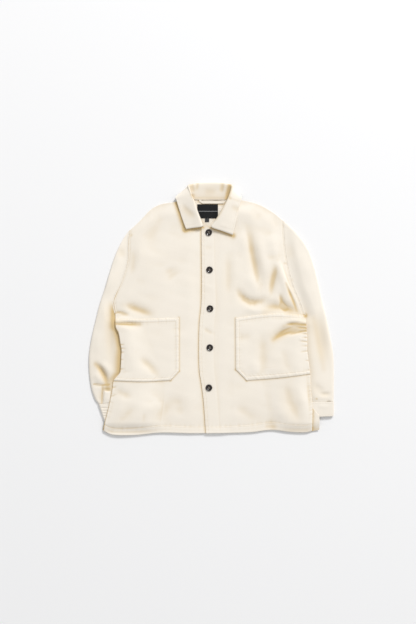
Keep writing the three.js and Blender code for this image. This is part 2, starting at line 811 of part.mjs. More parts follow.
function collar(fronts) {
  // each point of the section follows a smooth line round the neck
  const lines = COLLAR_ROWS.map(collarLine);
  const rounds = (lines.length - 1) * ROWS_BETWEEN;
  const controls = lines[0].map((_, n) =>
    new THREE.CatmullRomCurve3(lines.map((line) => line[n]), false, "centripetal"));
  const rows = [];
  for (let r = 0; r <= rounds; r += 1) {
    const t = r / rounds;
    const section = new THREE.CatmullRomCurve3(controls.map((c) => c.getPoint(t)), false, "centripetal");
    rows.push(section.getSpacedPoints(STAND_STEPS + ROLL_STEPS + FALL_STEPS));
  }
  const offset = (side) => rows.map((row, j) => row.map((p, i) => {
    const along = row[Math.min(row.length - 1, i + 1)].clone().sub(row[Math.max(0, i - 1)]);
    const round = rows[Math.min(rows.length - 1, j + 1)][i].clone().sub(rows[Math.max(0, j - 1)][i]);
    const normal = round.cross(along).normalize();
    const q = p.clone().addScaledVector(normal, (side * COLLAR_CLOTH) / 2);
    return [q.x, q.y, Math.max(q.z, 0)];
  }));
  const layers = [offset(1), offset(-1)];
  settle(layers, fronts, SEAM_GAP);
  const geometry = wall(...layers);
  return isInsideOut(geometry) ? turned(geometry) : geometry;
}

function button(x, y, beneath) {
  const rim = [
    // radius, height
    [0, 0],
    [6.4, 0],
    [BUTTON_RADIUS - 0.6, 1],
    [BUTTON_RADIUS, 1.9],
    [BUTTON_RADIUS - 0.5, BUTTON_HEIGHT - 0.5],
    [BUTTON_RADIUS - 1.4, BUTTON_HEIGHT],
    [BUTTON_RADIUS - 2.6, BUTTON_HEIGHT - 0.3],
    [BUTTON_RADIUS - 3.6, BUTTON_HEIGHT - 1],
    [0, BUTTON_HEIGHT - 1.1],
  ];
  const geometry = new THREE.LatheGeometry(rim.map(([r, z]) => new THREE.Vector2(r, z)), 20);
  geometry.rotateX(Math.PI / 2);
  const aside = [-BUTTON_SEAT, 0, BUTTON_SEAT];
  const seats = aside.flatMap((dx) => aside.map((dy) => beneath(x + dx, y + dy)));
  geometry.translate(x, y, Math.max(...seats) + SEAM_GAP);
  return geometry;
}

// A flat strip or label, laid on what is beneath it
function laid({ low, high }, columns, rows, beneath, cloth) {
  const [right, near] = low;
  const [left, far] = high;
  const grid = patch(
    stepsAlong([[right, near], [left, near]], columns),
    stepsAlong([[right, far], [left, far]], columns),
    stepsAlong([[right, near], [right, far]], rows),
    stepsAlong([[left, near], [left, far]], rows),
  );
  const lower = grid.map((row) => row.map(([x, y]) => [x, y, beneath(x, y) + SEAM_GAP]));
  settle([lower], beneath, SEAM_GAP);
  return wall(lower.map((row) => row.map(([x, y, z]) => [x, y, z + cloth])), lower);
}

const canvas = new THREE.MeshStandardMaterial({ color: 0xf0e8dc, roughness: 0.9, metalness: 0 });
const blackTape = new THREE.MeshStandardMaterial({ color: 0x141416, roughness: 0.7, metalness: 0 });
const greyTape = new THREE.MeshStandardMaterial({ color: 0x2c2c2e, roughness: 0.7, metalness: 0 });
const darkHorn = new THREE.MeshStandardMaterial({ color: 0x231815, roughness: 0.3, metalness: 0 });

const jacket = new THREE.Group();
function add(name, geometry, material) {
  const mesh = new THREE.Mesh(geometry, material);
  mesh.name = name;
  jacket.add(mesh);
  return geometry;
}

const sleeveR = add("sleeve_right", sleeveTube(SLEEVE_RIGHT_ROWS,
  sleevePlan(SLEEVE_RIGHT_ROWS, ARMHOLE_RIGHT), SLEEVE_HEIGHT, CLOTH, SLEEVE_FOLDS), canvas);
const sleeveL = add("sleeve_left", sleeveTube(SLEEVE_LEFT_ROWS,
  sleevePlan(SLEEVE_LEFT_ROWS, ARMHOLE_LEFT), SLEEVE_HEIGHT, CLOTH, SLEEVE_FOLDS), canvas);
const cuffR = add("cuff_right", sleeveTube(CUFF_RIGHT_ROWS,
  straightPlan(CUFF_RIGHT_ROWS), CUFF_HEIGHT, CUFF_CLOTH, []), canvas);
const cuffL = add("cuff_left", sleeveTube(CUFF_LEFT_ROWS,
  straightPlan(CUFF_LEFT_ROWS), CUFF_HEIGHT, CUFF_CLOTH, []), canvas);
const tuckedUnder = surfaceOf([sleeveR, sleeveL, cuffR, cuffL]);
const back = add("back_panel", backPanel(tuckedUnder), canvas);
const backTop = surfaceOf([back]);
const underFront = add("front_right", frontRight(backTop), canvas);
const rightTop = surfaceOf([underFront]);
const overFront = add("front_left", frontLeft(surfaceOf([back, underFront])), canvas);
const leftTop = surfaceOf([overFront]);
add("pocket_right",
  pocket(POCKET_RIGHT, pocketSide(SIDE_RIGHT, POCKET_RIGHT.seam), rightTop, false), canvas);
add("pocket_left",
  pocket(POCKET_LEFT, pocketSide(SIDE_LEFT, POCKET_LEFT.seam), leftTop, true), canvas);
add("collar", collar(surfaceOf([underFront, overFront])), canvas);
add("hanger_loop", laid(HANGER_LOOP, 6, 2, backTop, LOOP_CLOTH), canvas);
const label = add("neck_label", laid(NECK_LABEL, 6, 4, backTop, LABEL_CLOTH), blackTape);
add("size_tab", laid(SIZE_TAB, 2, 2, surfaceOf([back, label]), LABEL_CLOTH), greyTape);
BUTTONS.forEach(([x, y], n) => add(`button_${n + 1}`, button(x, y, leftTop), darkHorn));

export default jacket;
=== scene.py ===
import math

import bpy
import numpy as np
from mathutils.bvhtree import BVHTree
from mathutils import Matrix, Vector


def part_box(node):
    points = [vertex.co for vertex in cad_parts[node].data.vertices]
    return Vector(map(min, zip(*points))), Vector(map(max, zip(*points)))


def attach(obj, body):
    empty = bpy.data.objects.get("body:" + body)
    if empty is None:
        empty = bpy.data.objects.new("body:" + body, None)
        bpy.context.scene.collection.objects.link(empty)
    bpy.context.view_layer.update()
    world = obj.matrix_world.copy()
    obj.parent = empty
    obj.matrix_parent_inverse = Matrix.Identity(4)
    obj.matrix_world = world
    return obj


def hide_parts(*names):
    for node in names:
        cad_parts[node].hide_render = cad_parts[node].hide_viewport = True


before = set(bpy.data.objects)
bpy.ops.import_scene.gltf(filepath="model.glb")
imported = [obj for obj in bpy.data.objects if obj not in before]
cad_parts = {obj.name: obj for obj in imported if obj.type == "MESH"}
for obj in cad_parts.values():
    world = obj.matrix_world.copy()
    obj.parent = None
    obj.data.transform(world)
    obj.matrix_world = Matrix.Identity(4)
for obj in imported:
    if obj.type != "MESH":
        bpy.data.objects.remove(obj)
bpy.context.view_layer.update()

# Camera
# It looks straight down on the jacket, and its frame is 1.248 m wide and 1.872 m high.
PHOTO_CENTRE = (-0.0099, -0.0099)
PHOTO_HEIGHT = 1.872
CAMERA_HEIGHT = 2.6
camera_data = bpy.data.cameras.new("camera")
camera_data.sensor_width = 36
camera_data.lens = camera_data.sensor_width * CAMERA_HEIGHT / PHOTO_HEIGHT
camera = bpy.data.objects.new("camera", camera_data)
camera.location = (*PHOTO_CENTRE, CAMERA_HEIGHT)
bpy.context.scene.collection.objects.link(camera)
bpy.context.scene.camera = camera


# Sleeves
# Each sleeve is one piece of heavy cotton canvas sewn into a tube and set into its armhole.
# It lies pressed flat, its inner edge tucked under the side of the body, and is creased at
# the elbow. Lengths are in millimetres until a mesh is made.
MM = 0.001
CLOTH = 1.4
SLEEVE_SEAM_GAP = 0.12
SLEEVE_RING_GAP = 0.02
SLEEVE_HEIGHT = 7.0
SLEEVE_PUFF = 2.6
SLEEVE_EDGE = 9.0
SLEEVE_STEP = 4.0
SEAM_HEIGHT = 3.0
SEAM_EASE = 34
BOWED_ROWS = 6
ACROSS = 46
SHADE_SPREAD = 1.35
CREAM = (0.90, 0.836, 0.74, 1)
# colour of the painted shade in creases, in hollows and where other cloth shadows it
PAINTED_WARM_SHADE = (0.66, 0.49, 0.25, 1)
WEAVE_SHADE = (0.70, 0.62, 0.50, 1)
ARMHOLE_RIGHT = [(-289, -15), (-294, 22), (-271, 78), (-252, 141), (-249, 207), (-245, 234)]
ARMHOLE_LEFT = [(282, -20), (265, 25), (241.5, 85), (226, 160), (219, 225), (218, 261)]
# Side edges of the body, x and y from the hem to the underarm, which the sleeves go under
SIDE_RIGHT = [
    (-323, -366), (-317, -333), (-311, -309), (-304, -279), (-297, -243), (-293, -213),
    (-272, -189), (-269, -123), (-278, -69), (-286, -57), (-289, -15),
]
SIDE_LEFT = [
    (301.5, -366), (302.5, -297), (301.5, -276), (297.5, -237), (296, -195),
    (293, -171), (287, -126), (286.8, -93), (284, -48), (282, -20),
]
WHOLE_SIDES = [np.array(SIDE_RIGHT + ARMHOLE_RIGHT[1:], float), np.array(SIDE_LEFT + ARMHOLE_LEFT[1:], float)]
SLEEVE_RIGHT_ROWS = [
    # inner x, y, outer x, y
    (-289.4, -15, -246, 235),
    (-288.6, -22, -262, 212),
    (-287.4, -29, -278, 182),
    (-286, -36, -292, 148),
    (-285, -43, -305, 106),
    (-284, -50, -319, 60),
    (-280, -60, -334, 14),
    (-273, -78, -348, -42),
    (-262, -106, -359, -90),
    (-247, -140, -366, -140),
    (-231, -180, -365.5, -188),
    (-223, -226, -359.5, -235),
    (-222, -266, -349, -268),
    (-223, -276.7, -338, -284.4),
]
SLEEVE_LEFT_ROWS = [
    # inner x, y, outer x, y
    (282.4, -20, 218, 261.5),
    (282.6, -27, 246, 236.5),
    (282, -34, 271, 208),
    (281.5, -41, 292, 173),
    (281, -48, 307.5, 127),
    (280.5, -56, 320, 76),
    (278.5, -70, 333, 19),
    (271, -88, 346, -32),
    (257, -114, 356.5, -86),
    (241, -146, 364.5, -132),
    (232, -182, 366.8, -178),
    (235, -226, 367, -226),
    (247, -266, 366.5, -262),
    (251, -279.2, 366, -278.4),
]
SLEEVE_FOLDS = [
    # from x, y, by way of x, y, to x, y, width on each side, height
    (315, 2, 328, -90, 342, -190, 14, 16, -3.6),
    (332, 30, 346, -40, 355, -130, 12, 12, 1.6),
    (229, 206, 236, 170, 241, 140, 10, 14, -1.8),
    (262, 190, 276, 130, 292, 60, 20, 24, 1.4),
    (300, -215, 318, -238, 350, -252, 10, 14, -1.6),
    (322, -254, 340, -256, 362, -252, 5, 7, -2.4),
    (340, -276, 352, -279, 362, -277, 4, 6, -2.0),
    (-350, -160, -324, -192, -312, -232, 7, 6, -7.0),
    (-352, -190, -340, -205, -326, -226, 9, 12, 2.6),
    (-336, -160, -312, -178, -298, -206, 10, 12, 2.6),
    (-356, -226, -338, -228, -306, -227, 3, 4, -2.6),
    (-322, -238, -314, -242, -302, -246, 4, 4, -2.4),
    (-325, -222, -326, -256, -328, -292, 2.6, 2.6, -2.4),
    (-298, 40, -304, -60, -292, -200, 12, 12, -3.2),
    (-276, 186, -268, 168, -262, 146, 10, 12, -2.2),
    (-300, 128, -310, 84, -318, 30, 16, 16, 1.6),
    (-334, -60, -342, -100, -346, -140, 12, 14, 1.6),
    (-330, -236, -334, -262, -338, -282, 6, 5, -1.8),
]
SHADE_DOTS = [
    # x, y, radius, strength: where the cloth is pinched and the light doesn't reach in
    (281.5, -21, 6.0, 1.4),
    (314.5, -269.5, 2.8, 0.8),
    (242, 85, 3, 0.5),
    (265, 26, 3, 0.4),
    (-239.5, 220, 4, 0.5),
    (188, -353, 9, 0.22),
]
SLEEVE_SHADE_LINES = [
    # points of a closed crease, its width and strength
    ([(-346, -166), (-332, -182), (-319, -205), (-312, -230)], 7, 0.55),
    ([(-352, -226), (-330, -227.5), (-306, -227)], 2.2, 0.7),
    ([(-325, -232), (-326.5, -256), (-328, -282)], 3.0, 0.6),
    ([(-319, -240), (-306, -240)], 5.0, 0.6),
    ([(306, -30), (322, -110), (336, -180)], 9, 0.16),
]


def smooth(t):
    k = np.clip(t, 0, 1)
    return k * k * (3 - 2 * k)


def curve(points, samples=24):
    """A smooth line through points of any dimension, as a function of a share of its length."""
    p = np.array(points, float)
    if len(p) == 2:
        dense = np.linspace(p[0], p[1], samples)
    else:
        q = np.vstack([2 * p[0] - p[1], p, 2 * p[-1] - p[-2]])
        knots = np.concatenate([[0], np.cumsum(np.sqrt(np.linalg.norm(np.diff(q, axis=0), axis=1)) + 1e-9)])
        stretches = []
        for i in range(1, len(q) - 2):
            t = np.linspace(knots[i], knots[i + 1], samples, endpoint=False)[:, None]
            k0, k1, k2, k3 = knots[i - 1 : i + 3]
            a1 = (k1 - t) / (k1 - k0) * q[i - 1] + (t - k0) / (k1 - k0) * q[i]
            a2 = (k2 - t) / (k2 - k1) * q[i] + (t - k1) / (k2 - k1) * q[i + 1]
            a3 = (k3 - t) / (k3 - k2) * q[i + 1] + (t - k2) / (k3 - k2) * q[i + 2]
            b1 = (k2 - t) / (k2 - k0) * a1 + (t - k0) / (k2 - k0) * a2
            b2 = (k3 - t) / (k3 - k1) * a2 + (t - k1) / (k3 - k1) * a3
            stretches.append((k2 - t) / (k2 - k1) * b1 + (t - k1) / (k2 - k1) * b2)
        dense = np.vstack([*stretches, p[-1:]])
    run = np.concatenate([[0], np.cumsum(np.linalg.norm(np.diff(dense, axis=0), axis=1))])
    total = run[-1]

    def at(share):
        s = np.asarray(share, float) * total
        return np.stack([np.interp(s, run, dense[:, k]) for k in range(dense.shape[1])], axis=-1)

    at.length = total
    return at


def curve_by_row(rows):
    """Smooth values between the rows of a table, by row number."""
    padded = np.vstack([2 * rows[0] - rows[1], rows, 2 * rows[-1] - rows[-2]])

    def at(index):
        base = np.clip(np.floor(index).astype(int), 0, len(rows) - 2)
        t = (index - base)[:, None]
        p0, p1, p2, p3 = (padded[base + k] for k in range(4))
        return 0.5 * (2 * p1 + (p2 - p0) * t + (2 * p0 - 5 * p1 + 4 * p2 - p3) * t**2
                      + (3 * p1 - p0 - 3 * p2 + p3) * t**3)

    return at


def body_side(x, y):
    """x of the body's side edge beside a plan point."""
    right, left = (np.interp(y, side[:, 1], side[:, 0]) for side in WHOLE_SIDES)
    return np.where(np.asarray(x) < 0, right, left)


def fold_height(folds, x, y):
    """Height of a table's ridges and troughs over plan points."""
    height = np.zeros(np.shape(x))
    for x0, y0, x1, y1, x2, y2, left, right, rise in folds:
        t = np.linspace(0, 1, 9)
        # the middle point lies on the fold, so the curve's handle is pulled past it
        hx, hy = 2 * x1 - (x0 + x2) / 2, 2 * y1 - (y0 + y2) / 2
        px = (1 - t) ** 2 * x0 + 2 * t * (1 - t) * hx + t * t * x2
        py = (1 - t) ** 2 * y0 + 2 * t * (1 - t) * hy + t * t * y2
        reach = 3 * max(left, right)
        near = ((x > px.min() - reach) & (x < px.max() + reach)
                & (y > py.min() - reach) & (y < py.max() + reach))
        if not near.any():
            continue
        qx, qy = np.asarray(x)[near], np.asarray(y)[near]
        best = np.full(qx.shape, 1e9)
        side = np.zeros(qx.shape)
        along = np.zeros(qx.shape)
        for i in range(8):
            dx, dy = px[i + 1] - px[i], py[i + 1] - py[i]
            length = math.hypot(dx, dy)
            s = np.clip(((qx - px[i]) * dx + (qy - py[i]) * dy) / length**2, 0, 1)
            away = np.hypot(qx - px[i] - s * dx, qy - py[i] - s * dy)
            turn = dx * (qy - py[i]) - dy * (qx - px[i])
            closer = away < best
            best = np.where(closer, away, best)
            side = np.where(closer, turn, side)
            along = np.where(closer, (i + s) / 8, along)
        width = np.where(side > 0, left, right)
        taper = 0.05 + 0.95 * smooth(along / 0.42) * smooth((1 - along) / 0.42)
        height[near] += rise * taper * np.exp(-((best / width) ** 2))
    return height


def trough_shade(folds, x, y, strength=0.36, deep=6.0):
    """Painted warm shade in a table's troughs over plan points, from 0 to 1."""
    troughs = [(*fold[:6], fold[6] * SHADE_SPREAD, fold[7] * SHADE_SPREAD, fold[8])
               for fold in folds if fold[8] < 0]
    depth = -fold_height(troughs, x, y) / deep
    return strength * depth**1.2 / (1 + 0.5 * depth**2)


def shade_dots(x, y):
    return sum(s * np.exp(-((x - cx) ** 2 + (y - cy) ** 2) / r**2) for cx, cy, r, s in SHADE_DOTS)


def away_from(line, x, y):
    """Distance of plan points from a smooth line through a table's points."""
    near = np.full(np.shape(x), 1e9)
    for px, py in curve(line)(np.linspace(0, 1, 120)):
        near = np.minimum(near, np.hypot(x - px, y - py))
    return near


def shade_lines(lines, x, y):
    """Painted warm shade beside closed creases, each given as its points, width and strength."""
    return sum(strength * np.exp(-((away_from(line, x, y) / width) ** 2)) for line, width, strength in lines)


def waviness(x, y, seed, size):
    """Soft uneven waves, about one high or low for each size, from -1 to 1."""
    draw = np.random.default_rng(seed)
    total = np.zeros(np.shape(x))
    for _ in range(7):
        angle = draw.uniform(0, math.tau)
        turns = math.tau / (size * draw.uniform(1.2, 3.2))
        along = x * math.cos(angle) + y * math.sin(angle)
        total = total + np.sin(along * turns + draw.uniform(0, math.tau))
    return total / 4


def turn_outward(piece):
    """Turns a closed mesh's faces outward if they all point in."""
    mesh = piece.data
    corners = np.empty(len(mesh.vertices) * 3)
    mesh.vertices.foreach_get("co", corners)
    corners = corners.reshape(-1, 3)
    mesh.calc_loop_triangles()
    triangles = np.empty(len(mesh.loop_triangles) * 3, int)
    mesh.loop_triangles.foreach_get("vertices", triangles)
    a, b, c = (corners[triangles.reshape(-1, 3)[:, k]] for k in range(3))
    if np.einsum("ij,ij->i", a, np.cross(b, c)).sum() < 0:
        mesh.flip_normals()


def mesh_piece(name, points, faces, material, painted_shade=None, rides=True):
    """A smooth closed piece from points in millimetres, with painted warm shade on its cloth given point by
    point.
    """
    mesh = bpy.data.meshes.new(name)
    mesh.from_pydata((np.asarray(points, float) * MM).tolist(), [],
                     faces.tolist() if isinstance(faces, np.ndarray) else faces)
    mesh.polygons.foreach_set("use_smooth", np.ones(len(mesh.polygons), bool))
    mesh.materials.append(material)
    # painted shade is kept on the points, and the cloth's material mixes it into its colour
    if painted_shade is not None:
        shade = mesh.attributes.new("painted_shade", "FLOAT", "POINT")
        shade.data.foreach_set("value", np.asarray(painted_shade, np.float32))
    piece = bpy.data.objects.new(name, mesh)
    bpy.context.scene.collection.objects.link(piece)
    turn_outward(piece)
    if rides:
        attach(piece, "root")
    return piece


def grid_faces(rows, columns, start=0, close=False):
    """Faces of a grid of points held row by row; close joins its last column to its first."""
    i = np.arange(columns if close else columns - 1)
    j = np.arange(rows - 1)
    jj, ii = np.meshgrid(j, i, indexing="ij")
    nxt = (ii + 1) % columns
    a = start + jj * columns + ii
    b = start + jj * columns + nxt
    c = start + (jj + 1) * columns + nxt
    d = start + (jj + 1) * columns + ii
    return np.stack([a, b, c, d], axis=-1).reshape(-1, 4)


class Socket:
    """A socket whose arithmetic adds Math nodes."""

    def __init__(self, tree, link):
        self.tree = tree
        self.link = link

    def maths(self, operation, *values):
        return self.tree.node("ShaderNodeMath", {"operation": operation}, dict(enumerate(values)))

    def __add__(self, other):
        return self.maths("ADD", self, other)

    def __radd__(self, other):
        return self.maths("ADD", other, self)

    def __sub__(self, other):
        return self.maths("SUBTRACT", self, other)

    def __rsub__(self, other):
        return self.maths("SUBTRACT", other, self)

    def __mul__(self, other):
        return self.maths("MULTIPLY", self, other)

    def __rmul__(self, other):
        return self.maths("MULTIPLY", other, self)

    def __truediv__(self, other):
        return self.maths("DIVIDE", self, other)


class Finish:
    """A material and its nodes."""

    def __init__(self, name, **constants):
        self.material = bpy.data.materials.new(name)
        self.material.use_nodes = True
        self.nodes = self.material.node_tree.nodes
        self.links = self.material.node_tree.links
        self.shader = self.nodes["Principled BSDF"]
        for socket, value in constants.items():
            self.shader.inputs[socket.replace("_", " ")].default_value = value

    def node(self, kind, settings=None, inputs=None, output=0):
        made = self.nodes.new(kind)
        for key, value in (settings or {}).items():
            setattr(made, key, value)
        for key, value in (inputs or {}).items():
            self.feed(made.inputs[key], value)
        return Socket(self, made.outputs[output])

    def feed(self, socket, value):
        if isinstance(value, Socket):
            self.links.new(value.link, socket)
        else:
            socket.default_value = value

    def mix(self, share, a, b):
        return self.node("ShaderNodeMix", {"data_type": "RGBA"}, {0: share, 6: a, 7: b}, output=2)


# Brushed cotton canvas: plain weave, a few slubs, and painted warm shade where it is creased and where other
# cloth shadows it
cloth = Finish("canvas", Roughness=0.9, Sheen_Weight=0.12, Sheen_Roughness=0.5, Specular_IOR_Level=0.25)
canvas = cloth.material
place = cloth.node("ShaderNodeTexCoord", output=3)
painted_shade = cloth.node("ShaderNodeAttribute", {"attribute_name": "painted_shade"}, output=2)
broad, fine = (
    cloth.node("ShaderNodeTexNoise", {"noise_dimensions": "4D"},
               {"Vector": place, "W": 0.0, "Scale": scale, "Detail": detail})
    for scale, detail in ((9.0, 3.0), (420.0, 2.0)))
warp, weft = (
    cloth.node("ShaderNodeTexWave", {"wave_type": "BANDS", "bands_direction": direction},
               {"Vector": place, "Scale": scale, "Distortion": distortion,
                "Detail": 1.0, "Detail Scale": 0.4},
               output=1)
    for direction, scale, distortion in (("X", 460.0, 1.2), ("Y", 430.0, 1.4)))
# random warmer and paler tone, plus the painted warm shade kept on each piece's points
tone_and_painted_shade = cloth.node("ShaderNodeClamp", None, {0: (broad - 0.5) * 0.16 + painted_shade})
weave_and_painted_shade = cloth.mix((warp * weft) * 0.08 + fine * 0.06, cloth.mix(tone_and_painted_shade, CREAM, PAINTED_WARM_SHADE), WEAVE_SHADE)
relief = warp * 0.5 + weft * 0.5 + fine * 0.9
cloth.feed(cloth.shader.inputs["Base Color"], weave_and_painted_shade)
cloth.feed(cloth.shader.inputs["Roughness"], 0.84 + fine * 0.12)
cloth.feed(cloth.shader.inputs["Normal"],
           cloth.node("ShaderNodeBump", None, {"Strength": 0.35, "Distance": 0.00025, "Height": relief}))


def tucked_shade(x, y, seed, lee):
    """Painted warm shade on a sleeve beside the body's edge, where the body shadows it; lee is how far that
    side is turned from the light.
    """
    beside = np.abs(np.abs(x) - np.abs(body_side(x, y)))
    wide = 11 + 3 * waviness(x, y, seed, 50)
    # a band of painted shadow beside the edge, and a faint wide one beyond it
    painted_shadow_band = 0.85 * np.exp(-(((beside - 5) / wide) ** 2)) + 0.2 * np.exp(-beside / 26)
    return lee * painted_shadow_band * smooth((30 - y) / 45) * (0.45 + 0.55 * smooth((y + 235) / 50))


def tube(name, rows, armhole, height, cloth, folds, step, puff, edge, seed):
    """A flattened tube and its outer rings; the upper half of each ring carries the folds."""
    rows = np.array(rows, float)
    index = np.linspace(0, len(rows) - 1, int(curve(rows[:, 2:]).length / step) + 1)
    ring_rows = curve_by_row(rows)(index)
    ring_share = (1 - np.cos(np.linspace(0, math.pi, ACROSS + 1))) / 2
    fade = smooth(index / 3) * smooth((len(rows) - 1 - index) / 1.2) * 0.8 + 0.2
    if armhole:
        side = math.copysign(1, armhole[0][0])
        seam_line = curve(armhole)(np.linspace(0, 1, 200))

    def rings(inset):
        made = []
        for k, (x1, y1, x2, y2) in enumerate(ring_rows):
            width = math.hypot(x2 - x1, y2 - y1)
            inside = (inset + (width - 2 * inset) * ring_share) / width
            x = x1 + (x2 - x1) * inside
            y = y1 + (y2 - y1) * inside
            full, shown = height, 1.0
            if armhole:
                bow = max(0.0, 1 - index[k] / BOWED_ROWS) ** 1.5
                seam = curve(armhole)(inside)
                chord = np.array(armhole[0]) + np.outer(inside, np.subtract(armhole[-1], armhole[0]))
                x = x + bow * (seam[:, 0] - chord[:, 0] + side * SLEEVE_SEAM_GAP)
                y = y + bow * (seam[:, 1] - chord[:, 1])
                # no ring reaches back over the seam, and each lies a little outside the one before
                bound = np.interp(y, seam_line[:, 1], side * seam_line[:, 0], left=0)
                x = side * np.maximum(side * x, bound + SLEEVE_SEAM_GAP + SLEEVE_RING_GAP * k)
                ease = smooth(away_from(armhole, x, y) / SEAM_EASE)
                full = SEAM_HEIGHT + (height - SEAM_HEIGHT) * ease
                shown = smooth((np.abs(x) - np.abs(body_side(x, y)) + 8) / 20) * ease
            from_edge = np.minimum(ring_share, 1 - ring_share) * (width - 2 * inset)
            bulge = np.sqrt(np.clip(1 - (1 - np.minimum(1, from_edge / edge)) ** 2, 0, 1))
            half = full / 2 - inset
            rise = fold_height(folds, x, y) + waviness(x, y, seed, 46) * 0.5
            crown = puff * smooth(np.sin(np.pi * ring_share)) * fade[k]
            upper = np.stack([x, y, full / 2 + half * bulge + (rise + crown) * bulge * shown], axis=-1)
            lower = np.stack([x, y, full / 2 - half * bulge], axis=-1)[::-1][1:-1]
            made.append(np.vstack([upper, lower]))
        return np.array(made)

    outside = rings(0)
    count, size = outside.shape[:2]
    whole = count * size
    n = np.arange(size)
    m = (n + 1) % size
    mouth = np.stack([n, m, m + whole, n + whole], axis=-1)
    faces = np.vstack([
        grid_faces(count, size, 0, close=True),
        grid_faces(count, size, whole, close=True)[:, ::-1],
        mouth[:, ::-1],
        mouth + whole - size,
    ])
    points = np.vstack([outside.reshape(-1, 3), rings(cloth).reshape(-1, 3)])
    x, y = points[:, 0], points[:, 1]
    # painted shade: the troughs, closed creases, the body's shadow beside its edge and pinched spots
    painted_shade = trough_shade(folds, x, y, 0.5, 5.0) + shade_lines(SLEEVE_SHADE_LINES, x, y)
    if armhole:
        painted_shade = painted_shade + tucked_shade(x, y, seed + 5, 1.0 if side < 0 else 0.2) + shade_dots(x, y)
    return mesh_piece(name, points, faces, canvas, painted_shade), outside


sleeves = {}
for node, rows, armhole, seed, cut in (("sleeve_right", SLEEVE_RIGHT_ROWS, ARMHOLE_RIGHT, 11, 0.077),
                                       ("sleeve_left", SLEEVE_LEFT_ROWS, ARMHOLE_LEFT, 12, 0.090)):
    sleeve, _ = tube(node + "_cloth", rows, armhole, SLEEVE_HEIGHT, CLOTH,
                     SLEEVE_FOLDS, SLEEVE_STEP, SLEEVE_PUFF, SLEEVE_EDGE, seed)
    sleeves[node] = sleeve
    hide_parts(node)


# Cuffs
# A cuff is a doubled band of the same canvas, as wide as the gathered end of the sleeve. Two
# rows of short stitches in cream thread hold it.
CUFF_HEIGHT = 8.2
CUFF_CLOTH = 2.2
CUFF_STEP = 1.6
CUFF_PUFF = 0.4
CUFF_EDGE = 5.0
STITCH = 2.5
STITCH_PITCH = 3.4
STITCH_RADIUS = 0.26
THREAD = (0.86, 0.78, 0.66, 1)
THREAD_SHADE = (0.66, 0.55, 0.40, 1)
CUFF_RIGHT_ROWS = [
    # inner x, y, outer x, y
    (-223, -276.9, -337.5, -284.6),
    (-215, -299, -329, -310),
    (-208, -323, -320, -336),
]
CUFF_LEFT_ROWS = [
    # inner x, y, outer x, y
    (251, -279.4, 367.2, -278.6),
    (252, -302, 367.2, -300),
    (253, -327, 366, -321.5),
]
CUFF_FOLDS = [
    # from x, y, by way of x, y, to x, y, width on each side, height
    (-335, -296, -322, -297, -304, -296, 2.0, 2.6, -1.5),
    (-332, -304, -320, -305, -304, -303, 2.0, 2.4, -1.3),
    (-329, -312, -318, -313, -304, -311, 2.0, 2.6, -1.5),
    (-326, -320, -318, -321, -306, -319, 2.0, 2.4, -1.2),
    (318, -290, 335, -292, 358, -289, 5, 7, 0.8),
]
STITCH_RINGS = np.array([
    # share along, radius and lift of the rings of one stitch, which dips in at both ends
    (-0.5, 0.25, -0.45), (-0.38, 0.9, 0.05), (0.0, 1.0, 0.25), (0.38, 0.9, 0.05), (0.5, 0.25, -0.45),
])
STITCH_SIDES = 6

thread_finish = Finish("thread", Base_Color=THREAD, Roughness=0.75, Sheen_Weight=0.1)
twist = thread_finish.node("ShaderNodeTexNoise", None, {"Scale": 900.0, "Detail": 1.0})
thread_finish.feed(thread_finish.shader.inputs["Base Color"],
                   thread_finish.mix(twist * 0.5, THREAD, THREAD_SHADE))
thread = thread_finish.material


def closed_tube(rings, sides, start=0):
    """Faces of rings of points one after another, with both ends shut."""
    last = start + (rings - 1) * sides
    faces = grid_faces(rings, sides, start, close=True).tolist()
    return faces + [list(range(start, start + sides))[::-1], list(range(last, last + sides))]


def run_along(row):
    """Length along a row of points up to each of them."""
    return np.concatenate([[0], np.cumsum(np.linalg.norm(np.diff(row, axis=0), axis=1))])


def stitches(name, lines, pitch=STITCH_PITCH):
    """Rows of separate stitches along lines of points on the cloth."""
    spin = np.arange(STITCH_SIDES) * math.tau / STITCH_SIDES
    step, radius, lift = (STITCH_RINGS[:, k, None] for k in range(3))
    ahead_part = (step * STITCH + 0 * spin).ravel()
    aside_part = (radius * np.cos(spin) * STITCH_RADIUS).ravel()
    up_part = ((lift + radius * np.sin(spin)) * STITCH_RADIUS).ravel()
    points, faces = [], []
    for row in lines:
        run = run_along(row)
        count = int(run[-1] // pitch)
        for middle in (np.arange(count) + 0.5) * run[-1] / count:
            back, front = (np.array([np.interp(middle + d, run, row[:, k]) for k in range(3)])
                           for d in (-STITCH / 2, STITCH / 2))
            ahead = (front - back) / np.linalg.norm(front - back)
            aside = np.cross(ahead, (0, 0, 1))
            aside /= np.linalg.norm(aside)
            up = np.cross(aside, ahead)
            faces += closed_tube(len(STITCH_RINGS), STITCH_SIDES, len(points))
            points.extend((back + front) / 2 + np.outer(ahead_part, ahead) + np.outer(aside_part, aside)
                          + np.outer(up_part, up))
    sewing = mesh_piece(name, points, faces, thread)
    return sewing


for name, rows, seed in (("cuff_right", CUFF_RIGHT_ROWS, 21), ("cuff_left", CUFF_LEFT_ROWS, 22)):
    cuff, rings = tube(name + "_cloth", rows, None, CUFF_HEIGHT, CUFF_CLOTH,
                       CUFF_FOLDS, CUFF_STEP, CUFF_PUFF, CUFF_EDGE, seed)
    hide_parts(name)
    stitches("stitching_" + name, [rings[n, 2:ACROSS - 1] for n in (2, len(rings) - 4)])


# Sleeve slit
# The right sleeve opens above its cuff in a short slit, faced with a narrow strip of canvas
# that lies on the sleeve. Its corners run from the cuff up.
SLIT_STRIP = [(-324, -283.5), (-303, -283), (-301, -247), (-319, -247)]
SLIT_WIDTH = 20
SLIT_LENGTH = 36
STRIP_THICK = 1.5
EDGE_LINES = (0, 0.6, 1.4)


